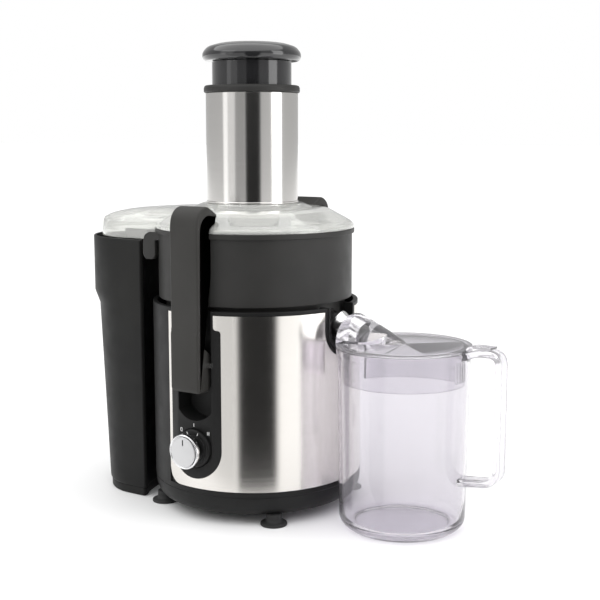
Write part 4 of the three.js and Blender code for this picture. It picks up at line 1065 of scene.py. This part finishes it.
foot_levels = [(INSET + 0.8, 0), (INSET, 0.8), (INSET, BIN_BASE - 0.6), (INSET + 0.5, BIN_BASE)]
container_foot = solid("container_foot", skin(bin_rings(foot_levels)))
room_below = bin_rings([(INSET + 5, -2), (INSET + 5, BIN_BASE - 3)])
machine(container_foot, "DIFFERENCE", solid("under", skin(room_below)))
fit(container_foot, "container", "container_plastic", bin_plastic, "container_base", angle=40)

# %% [markdown]
# ## Juice jug
#
# The jug is a nearly straight cup with a rounded foot and a slightly wider rim, and its rim runs out into
# a short pouring beak. The cup is turned; the beak is a smooth bulge added to the radius where the angle
# is close to the beak and the height is close to the rim. Inside and outside share the same rule, so the
# wall keeps its thickness all the way into the beak.
#
# %% Jug
jug_high = node_mm("juice_jug")[1]
JUG_TOP = jug_high[2] - 5.0
JUG_X, JUG_R, JUG_FOOT, JUG_RIM, JUG_WALL = 154.5, 57.1, 54.7, 58.2, 2.4
BEAK_REACH, BEAK_SPREAD, BEAK_DEEP, LIP_DROP = 6.6, 0.17, 30.0, 4.0


def with_beak(rings):
    """Pushes rings of the jug out at the beak: the bulge is reach * exp(-(angle / spread)^2) at the rim,
    and fades to nothing as the square of the height below it; the lip dips by the same bell curve."""
    x, y, z = rings[..., 0], rings[..., 1], rings[..., 2]
    angle = np.abs(np.arctan2(y, -x))
    rise = np.clip((z - (JUG_TOP - BEAK_DEEP)) / BEAK_DEEP, 0, 1)
    bell = np.exp(-((angle / BEAK_SPREAD) ** 2))
    near_wall = np.hypot(x, y) > JUG_FOOT - 12
    push = BEAK_REACH * bell * rise**1.4 * near_wall
    drop = LIP_DROP * bell * rise**6 * near_wall
    r = np.maximum(np.hypot(x, y), 1e-9)
    return np.stack([x * (1 + push / r), y * (1 + push / r), z - drop], -1)


def to_jug(rings):
    """Moves rings made about the jug's own axis to where the jug stands."""
    return rings + (JUG_X, 0, 0)


def split_tall(profile, over=60, parts=8):
    """Cuts each edge that rises more than `over` into equal parts, so that the beak can bend it."""
    rows = []
    for start, end in zip(profile[:-1], profile[1:]):
        count = parts if abs(end[1] - start[1]) > over else 1
        rows += [start * (1 - share) + end * share for share in np.linspace(0, 1, count, endpoint=False)]
    return np.array([*rows, profile[-1]])


jug_profile = soften(
    [(0, 1.4), (JUG_FOOT - 12, 1.4), (JUG_FOOT - 13.5, 0), (JUG_FOOT - 8, 0), (JUG_FOOT - 0.3, 6),
     (JUG_FOOT + 0.2, 22), (JUG_R, JUG_TOP - 9), (JUG_RIM, JUG_TOP - 4.5), (JUG_RIM, JUG_TOP),
     (JUG_RIM - JUG_WALL, JUG_TOP),
     (JUG_RIM - JUG_WALL - 0.2, JUG_TOP - 5), (JUG_R - JUG_WALL - 0.2, JUG_TOP - 9),
     (JUG_FOOT - JUG_WALL, 22), (JUG_FOOT - JUG_WALL - 1.5, 8), (JUG_FOOT - 15, 4), (0, 4)],
    [0, 1, 0.6, 3.5, 7, 6, 3, 1.5, 0.9, 0.9, 1.5, 3, 7, 7, 4, 0], 9, False,
)
jug = solid("jug_cup", skin(to_jug(with_beak(spin(split_tall(jug_profile), 200)))))

# %% [markdown]
# The handle is a flat strap bent into a C. Its section is a rounded rectangle carried along a path with
# three soft corners, and both ends are buried in the cup's wall before the two are joined into one piece.
#
# %% Jug handle
HANDLE_OUT = jug_high[0] - JUG_X
HANDLE_HIGH = jug_high[2]
half_thick, half_wide = 3.0, 8.0
middle = HANDLE_OUT - half_thick
high = HANDLE_HIGH - half_thick
handle_path = soften(
    [(JUG_R - 1.9, 48.4), (middle, 52), (middle, high), (70, high), (JUG_R - 0.6, high - 5.6)],
    [0, 13, 12, 6, 0], 12, closed=False,
)


def strap_section(thick, wide, reach, steps):
    """A strap's rounded section [thickness, across] from its two half measures."""
    return soften([(-thick, -wide), (thick, -wide), (thick, wide), (-thick, wide)], reach, steps)


section = strap_section(half_thick, half_wide, 1.8, 5)
machine(jug, "UNION", solid("handle", skin(to_jug(strap(handle_path, section)))))
fit(jug, "jug", "jug_clear", jug_clear, "juice_jug")

# %% [markdown]
# The jug's lid is a clear disc with a long skirt that hangs inside the cup and strains the foam through a
# comb of slots. Over the spout it rises into a half cone, open towards the machine, and on the far side a
# small tab lies over the handle.
#
# %% Jug lid
cover_low, cover_high = node_mm("jug_lid")
LID_LOW, LID_THICK = JUG_TOP + 0.3, 2.0
SKIRT_LOW = cover_low[2]
SKIRT_R = JUG_RIM - JUG_WALL - 3.1
HOOD_BACK, HOOD_FRONT, HOOD_WIDE = 105.0 - JUG_X, 159.0 - JUG_X, 31.0
HOOD_RISE = cover_high[2] - LID_LOW


def half_cone(wall, start, low):
    """Rings of the hood over the spout: from its open back to its point, half an ellipse whose width
    shrinks as the 0.62 power of the way left to go and whose height shrinks nearly evenly."""
    left = np.linspace(1, 0.02, 16)
    x = HOOD_BACK + start + (HOOD_FRONT - HOOD_BACK - wall * 1.5 - start) * (1 - left)
    wide = (HOOD_WIDE - wall) * left**0.62
    tall = (HOOD_RISE - wall) * left**0.9
    a = np.linspace(0, np.pi, 33)
    y = wide[:, None] * np.cos(a)
    z = LID_LOW + tall[:, None] * np.sin(a) ** 0.85
    z = np.where(np.sin(a) < 1e-6, low, z)
    return np.stack([np.broadcast_to(x[:, None], y.shape), y, z], -1)


lid_profile = soften(
    [(0, LID_LOW), (SKIRT_R - 2, LID_LOW), (SKIRT_R - 2, SKIRT_LOW), (SKIRT_R, SKIRT_LOW), (SKIRT_R, LID_LOW),
     (JUG_RIM, LID_LOW), (JUG_RIM, LID_LOW + LID_THICK), (0, LID_LOW + LID_THICK)],
    [0, 0.8, 0.6, 0.6, 0.6, 0.5, 0.7, 0], 5, closed=False,
)
cover = solid("jug_lid_moulding", skin(to_jug(spin(lid_profile))))
machine(cover, "UNION", solid("cone", skin(to_jug(half_cone(0, 0, LID_LOW)))))
machine(cover, "DIFFERENCE", solid("cone_room", skin(to_jug(half_cone(1.6, -4, LID_LOW + LID_THICK)))))
mouth = [(-80, -18), (HOOD_BACK + 18, -18), (HOOD_BACK + 32, 0), (HOOD_BACK + 18, 18), (-80, 18)]
mouth = soften(np.array(mouth) + (JUG_X, 0), [0, 4, 6, 4, 0])
mouth_rings = plate(mouth, SKIRT_LOW - 5, LID_LOW + LID_THICK + 0.4)
machine(cover, "DIFFERENCE", solid("mouth", skin(mouth_rings)))
slot = soften([(SKIRT_R - 6, -1.2), (SKIRT_R + 4, -1.2), (SKIRT_R + 4, 1.2), (SKIRT_R - 6, 1.2)], 0.3, 3)
for slot_number in range(4):
    a = math.radians(-7.5 + slot_number * 5)
    slot_rings = plate(turn_plan(slot, a), SKIRT_LOW + 4, LID_LOW - 8)
    machine(cover, "DIFFERENCE", solid("slot", skin(to_jug(slot_rings))))
tab_low, tab_high = LID_LOW + 1, HANDLE_HIGH + 1.5
tab_path = soften(
    [(JUG_RIM - 6, tab_low), (JUG_RIM + 1, tab_low), (JUG_RIM + 5, tab_high), (JUG_RIM + 24, tab_high)],
    [0, 2, 2, 0], 6, closed=False,
)
tab_section = strap_section(0.9, 7, 0.5, 3)
machine(cover, "UNION", solid("tab", skin(to_jug(strap(tab_path, tab_section)))))
fit(cover, "jug_cover", "jug_clear", jug_clear, "jug_lid")

# %% [markdown]
# ## The back and what stays hidden
#
# The cord's gland is a ribbed rubber boot at the back. Everything else, the motor, its brackets, the fan,
# the switches and the screws, already has the right shape in the frame and is seen only when the machine
# is apart, so those nodes stay and only get a finish.
#
# %% Cord gland
GLAND_OUT = BASE_R + 12
CORD_R = 3.6
ribs = []
for rib in range(6):
    for bump, further in ((0.5, 0), (-0.4, 0.7)):
        ribs.append((6.2 - 0.25 * rib + bump, BASE_R + 4.5 + 1.25 * rib + further))
collar = [
    (CORD_R, BASE_R - 8), (8.5, BASE_R - 8), (8.5, BASE_R + 0.6), (11, BASE_R + 0.6), (11, BASE_R + 2.6),
    (7, BASE_R + 3.4),
]
gland_profile = soften(collar + ribs + [(4.9, GLAND_OUT), (CORD_R, GLAND_OUT)], 0.5, 3)
gland = solid("cord_boot", skin(facing(spin(gland_profile, 64), REAR) + (0, 0, KNOB_Z), loop=True))
fit(gland, "base", "black_rubber", rubber, "cord_gland")

# %% Finishes for the nodes that stay
laminated = brushed("laminated_steel", (0.30, 0.28, 0.26), 0.45, 2600, 0.1)
cast = moulded("bracket_casting", (0.30, 0.30, 0.31), (0.38, 0.38, 0.38), 0.4, 0.55, grain=1200, height=0.06)
cast.node_tree.nodes["Principled BSDF"].inputs["Metallic"].default_value = 1.0
finishes_by_slot = {
    "dark_plastic": casing, "container_plastic": bin_plastic, "black_plastic": panel_plastic,
    "black_rubber": rubber, "gloss_black": gloss_black, "brushed_steel": steel,
    "polished_steel": bright_steel, "mesh_steel": mesh_steel, "motor_steel": laminated,
    "knob_chrome": chrome, "knob_satin": satin, "lid_clear": lid_clear, "jug_clear": jug_clear,
}
slot_of = {row["node"]: row["material_slot"] for row in frame["record"]["subparts"]}
replaced = {name for item in made for name in item.get("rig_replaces", [])}
for name, node in frame["nodes"].items():
    if name not in replaced:
        node.data.materials.clear()
        node.data.materials.append(cast if "bracket" in name else finishes_by_slot[slot_of[name]])
print("nodes that stay:", sorted(set(frame["nodes"]) - replaced))

# %% [markdown]
# ## Studio
#
# The machine stands on a pale floor in front of a plain white backdrop. Polished steel shows whatever
# stands round it, so the light is set as for a bottle or a kettle: large soft boxes on both sides, a broad
# soft light from above, and dark cards close to the steel, which only its reflections can see.
#
# %% Floor and backdrop
def stage_sheet(name, corners, material):
    """A flat four-cornered sheet for the stage, with a unit map from corner to corner."""
    mesh = bpy.data.meshes.new(name)
    mesh.from_pydata(corners, [], [(0, 1, 2, 3)])
    unit = mesh.uv_layers.new(name="sheet")
    unit.data.foreach_set("uv", [0, 0, 1, 0, 1, 1, 0, 1])
    mesh.materials.append(material)
    item = bpy.data.objects.new(name, mesh)
    bpy.context.scene.collection.objects.link(item)
    return item


floor_finish, floor_tree, floor_shader = finish("pale_floor", (0.90, 0.90, 0.90), 0.55)
floor_drift = spread(floor_tree, noise(floor_tree, 3, 3), 0.5, 0.6)
floor_tree.links.new(floor_drift, floor_shader.inputs["Roughness"])
FLOOR = 30.0
floor_corners = [(-FLOOR, -FLOOR, 0), (FLOOR, -FLOOR, 0), (FLOOR, FLOOR, 0), (-FLOOR, FLOOR, 0)]
stage_sheet("floor", floor_corners, floor_finish)

# %% White surroundings
world = bpy.data.worlds.new("studio")
bpy.context.scene.world = world
world.use_nodes = True
backdrop = next(n for n in world.node_tree.nodes if n.type == "BACKGROUND")
backdrop.inputs["Color"].default_value = (1, 1, 1, 1)
WHITE, FILL = 1.0, 0.55
seen = world.node_tree.nodes.new("ShaderNodeLightPath")
level = world.node_tree.nodes.new("ShaderNodeMapRange")
level.inputs["To Min"].default_value = FILL
level.inputs["To Max"].default_value = WHITE
world.node_tree.links.new(seen.outputs["Is Camera Ray"], level.inputs["Value"])
world.node_tree.links.new(level.outputs["Result"], backdrop.inputs["Strength"])
bpy.context.scene.view_settings.view_transform = "Standard"
print("backdrop strength", WHITE, "fill", FILL)

# %% Camera
VIEW_ANGLE = 33.0
VIEW_DOWN = 8.27
LENS = 68.3
SHAFT_LEFT, SHAFT_AWAY, EYE = 40.8, 1040.0, 336.9
turn = math.radians(VIEW_ANGLE)
eye = np.array([
    SHAFT_LEFT * math.cos(turn) + SHAFT_AWAY * math.sin(turn),
    SHAFT_LEFT * math.sin(turn) - SHAFT_AWAY * math.cos(turn),
    EYE,
]) * MM + SHAFT
lens = bpy.data.cameras.new("camera")
lens.lens = LENS
lens.sensor_width = 36
camera = bpy.data.objects.new("camera", lens)
camera.location = eye
camera.rotation_euler = (math.radians(90 - VIEW_DOWN), 0, turn)
bpy.context.scene.collection.objects.link(camera)
bpy.context.scene.camera = camera
print("camera at", [round(float(c), 3) for c in eye])


# %% Soft boxes
def soft_box(name, bearing, distance, height, size, watts):
    """An area light at a bearing in degrees from the camera's side, aimed at the middle of the machine."""
    angle = turn + math.radians(bearing)
    place = np.array([distance * math.sin(angle), -distance * math.cos(angle), height])
    aim = np.array([0, 0, 0.2]) - place
    light = bpy.data.lights.new(name, "AREA")
    light.shape = "RECTANGLE"
    light.size, light.size_y = size
    light.energy = watts
    box = bpy.data.objects.new(name, light)
    box.location = place
    tip = math.acos(-aim[2] / np.linalg.norm(aim))
    box.rotation_euler = (tip, 0, math.atan2(aim[1], aim[0]) - math.pi / 2)
    bpy.context.scene.collection.objects.link(box)


soft_box("left_box", -58, 1.5, 0.6, (0.9, 1.6), 3.5)
soft_box("right_box", 66, 1.6, 0.55, (0.8, 1.6), 10)
overhead = bpy.data.lights.new("overhead", "SUN")
overhead.energy = 2.8
overhead.angle = math.radians(110)
overhead_lamp = bpy.data.objects.new("overhead", overhead)
overhead_lamp.rotation_euler = (math.radians(12), math.radians(-8), turn)
bpy.context.scene.collection.objects.link(overhead_lamp)

# %% [markdown]
# The cards are seen by reflections alone. The dark one stands just in front of the machine and draws the
# upright band down the middle of each steel cylinder. It is solid in the middle and fades at its upright
# edges. Beside it hangs a wide gauze that takes away part of the light, as a grey flag does in a studio, so
# the steel to the left of the band is a middle grey and not white. A third card darkens the back.
#
# %% Cards
def card(name, opacity, fade_width, low_span, high_span, bearing=0.0):
    """An upright sheet CARD_AWAY from the shaft at a bearing from the camera's side, from `low_span` on the
    floor to `high_span` at its top; black where its opacity is 1 and clear where it is 0."""
    card_finish = bpy.data.materials.new(name)
    card_finish.use_nodes = True
    tree = card_finish.node_tree
    tree.nodes.clear()
    unit_map = tree.nodes.new("ShaderNodeTexCoord")
    across = tree.nodes.new("ShaderNodeSeparateXYZ")
    fold = tree.nodes.new("ShaderNodeMath")
    fold.operation = "PINGPONG"
    fold.inputs[1].default_value = 0.5
    fade = tree.nodes.new("ShaderNodeMapRange")
    fade.interpolation_type = "SMOOTHSTEP"
    fade.inputs["From Max"].default_value = fade_width
    fade.inputs["To Max"].default_value = opacity
    black = tree.nodes.new("ShaderNodeEmission")
    black.inputs["Color"].default_value = (0.015, 0.015, 0.015, 1)
    gap = tree.nodes.new("ShaderNodeBsdfTransparent")
    mix = tree.nodes.new("ShaderNodeMixShader")
    surface = tree.nodes.new("ShaderNodeOutputMaterial")
    tree.links.new(unit_map.outputs["UV"], across.inputs[0])
    tree.links.new(across.outputs["X"], fold.inputs[0])
    tree.links.new(fold.outputs[0], fade.inputs["Value"])
    tree.links.new(fade.outputs["Result"], mix.inputs[0])
    tree.links.new(gap.outputs[0], mix.inputs[1])
    tree.links.new(black.outputs[0], mix.inputs[2])
    tree.links.new(mix.outputs[0], surface.inputs["Surface"])
    angle = turn + math.radians(bearing)
    towards = np.array([math.sin(angle), -math.cos(angle), 0]) * CARD_AWAY
    beside = np.array([math.cos(angle), math.sin(angle), 0])
    (low_left, low_right), (high_left, high_right) = low_span, high_span
    places = ((low_left, 0), (low_right, 0), (high_right, CARD_TOP), (high_left, CARD_TOP))
    corners = [tuple(map(float, towards + beside * along + (0, 0, up))) for along, up in places]
    sheet = stage_sheet(name, corners, card_finish)
    sheet.visible_camera = sheet.visible_diffuse = sheet.visible_shadow = sheet.visible_transmission = False


CARD_AWAY, CARD_TOP = 0.17, 0.45
card("dark_card", 1.0, 0.18, (-0.088, 0.052), (-0.088, 0.055))
card("gauze", 0.38, 0.02, (-0.34, -0.079), (-0.34, -0.079))
card("rear_card", 0.9, 0.3, (-0.09, 0.05), (-0.08, 0.05), 192)
print("cards stand", CARD_AWAY, "m from the shaft")

# %% [markdown]
# ## Pieces made
#
# The last cell prints how many pieces were made.
#
# %% The last line
print("pieces made:", len(made))
